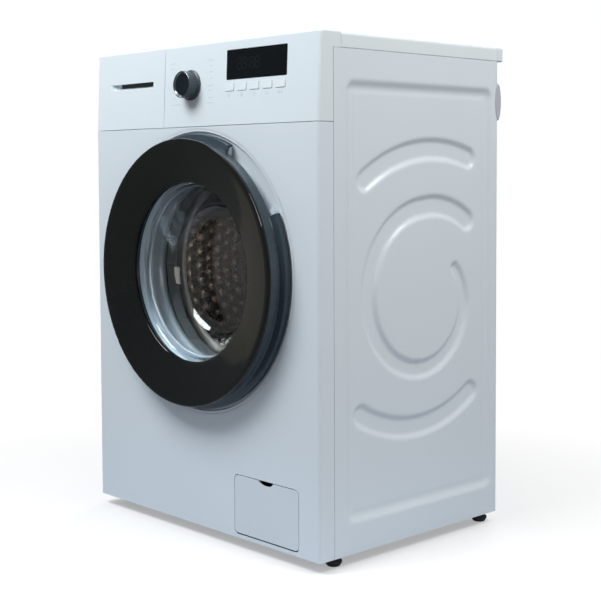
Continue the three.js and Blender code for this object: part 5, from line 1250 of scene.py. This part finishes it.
# -------- rear panel and its cover
# A flat sheet screwed to the folded edges of the sides, with a pressed cover over the belt. Caps
# fill the four holes that the transport bolts leave.
cover("rear_sheet", "rear_panel", "cabinet", "white_paint", white_paint, width=0.0)
cover("belt_cover", "service_cover", "cabinet", "white_paint", white_paint, width=0.0008,
      segments=3, degrees=20.0)
rear_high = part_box("rear_panel")[1]
rear_face = rear_high.y
cover_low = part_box("service_cover")[0]
head = 0.0040
screw = turned("rear_screw", [
    (0.0, 0.0), (head, 0.0), (head, 0.0008), (head * 0.85, 0.0016), (head * 0.5, 0.0021),
    (0.0, 0.0022),
], steps=24, middle=origin)
for half_wide, half_high in ((head / 2, 0.0004), (0.0004, head / 2)):
    carve(screw, block("recess", (-half_wide, 0.0010, -half_high),
                       (half_wide, 0.0040, half_high)))
smooth(screw)
edge_x, lap, ring = rear_high.x - 0.0075, cover_low.y + sheet, 0.1665
screw_places = [(side * edge_x, rear_face, z) for side in (-1, 1)
                for z in (0.045, 0.190, 0.340, 0.500, 0.650)]
screw_places += [(-edge_x, rear_face, 0.800), (edge_x, rear_face, 0.806),
                 (-0.225, rear_face, 0.806), (0.060, rear_face, 0.806)]
screw_places += [(ring * math.cos(turn), lap, axis_height + ring * math.sin(turn))
                 for turn in map(math.radians, (10, 55, 90, 125, 170))]
for side in (-1, 1):
    screw_places += [(side * 0.1390, lap, 0.3080), (side * 0.0700, lap, cover_low.z + 0.0290)]
cap = turned("transport_cap", [
    (0.0, 0.0016), (0.0060, 0.0016), (0.0085, 0.0024), (0.0140, 0.0026), (0.0155, 0.0020),
    (0.0160, 0.0010), (0.0160, 0.0001), (0.0116, 0.0001), (0.0116, -0.0060),
    (0.0106, -0.0070), (0.0095, -0.0070), (0.0095, 0.0004), (0.0, 0.0004),
], steps=64, middle=origin)
cap_plastic = coated("transport_cap_plastic", (0.60, 0.66, 0.70), 0.38, 1500.0, 0.03)
cap_places = [(side * 0.205, rear_face, axis_height + level_of * 0.140)
              for side in (-1, 1) for level_of in (-1, 1)]
repeat([(screw, zinc_sheet)], screw_places, "cabinet", "zinc_sheet")
repeat([(cap, cap_plastic)], cap_places, "cabinet", "white_plastic")

# -------- wall spacer
# An upright oval plug of pale violet grey plastic, clipped into a notch of the rear corner. It
# keeps the machine off the wall.
spacer_plastic = coated("spacer_plastic", (0.46, 0.47, 0.54), 0.42, 1300.0, 0.04)
cover("wall_spacer_plug", "wall_spacer", "cabinet", "spacer_plastic", spacer_plastic,
      width=0.0015, segments=4)

# -------- water valve, drain and gland
# The cold water valve ends in a threaded spigot, the drain in a barbed one, and a split gland
# closes the hole for the mains lead.
cover("water_valve", "inlet_valve", "cabinet", "grey_plastic", grey_plastic)
valve_thread = turned("valve_thread", [
    *thread(rear_face + 0.0022, 5, 0.0019, 0.0129, 0.0138, 0.0007),
    (0.0126, rear_face + 0.0120), (0.0120, rear_face + 0.0120), (0.0120, rear_face + 0.0020),
], steps=64, middle=(-0.150, 0.0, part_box("inlet_valve")[0].z + 0.024))
dress(valve_thread, "cabinet", "grey_plastic", grey_plastic)
cover("drain_spigot", "drain_port", "cabinet", "grey_plastic", grey_plastic, width=0.0004)
cover("lead_gland", "cable_gland", "cabinet", "black_plastic", black_plastic, width=0.0004)
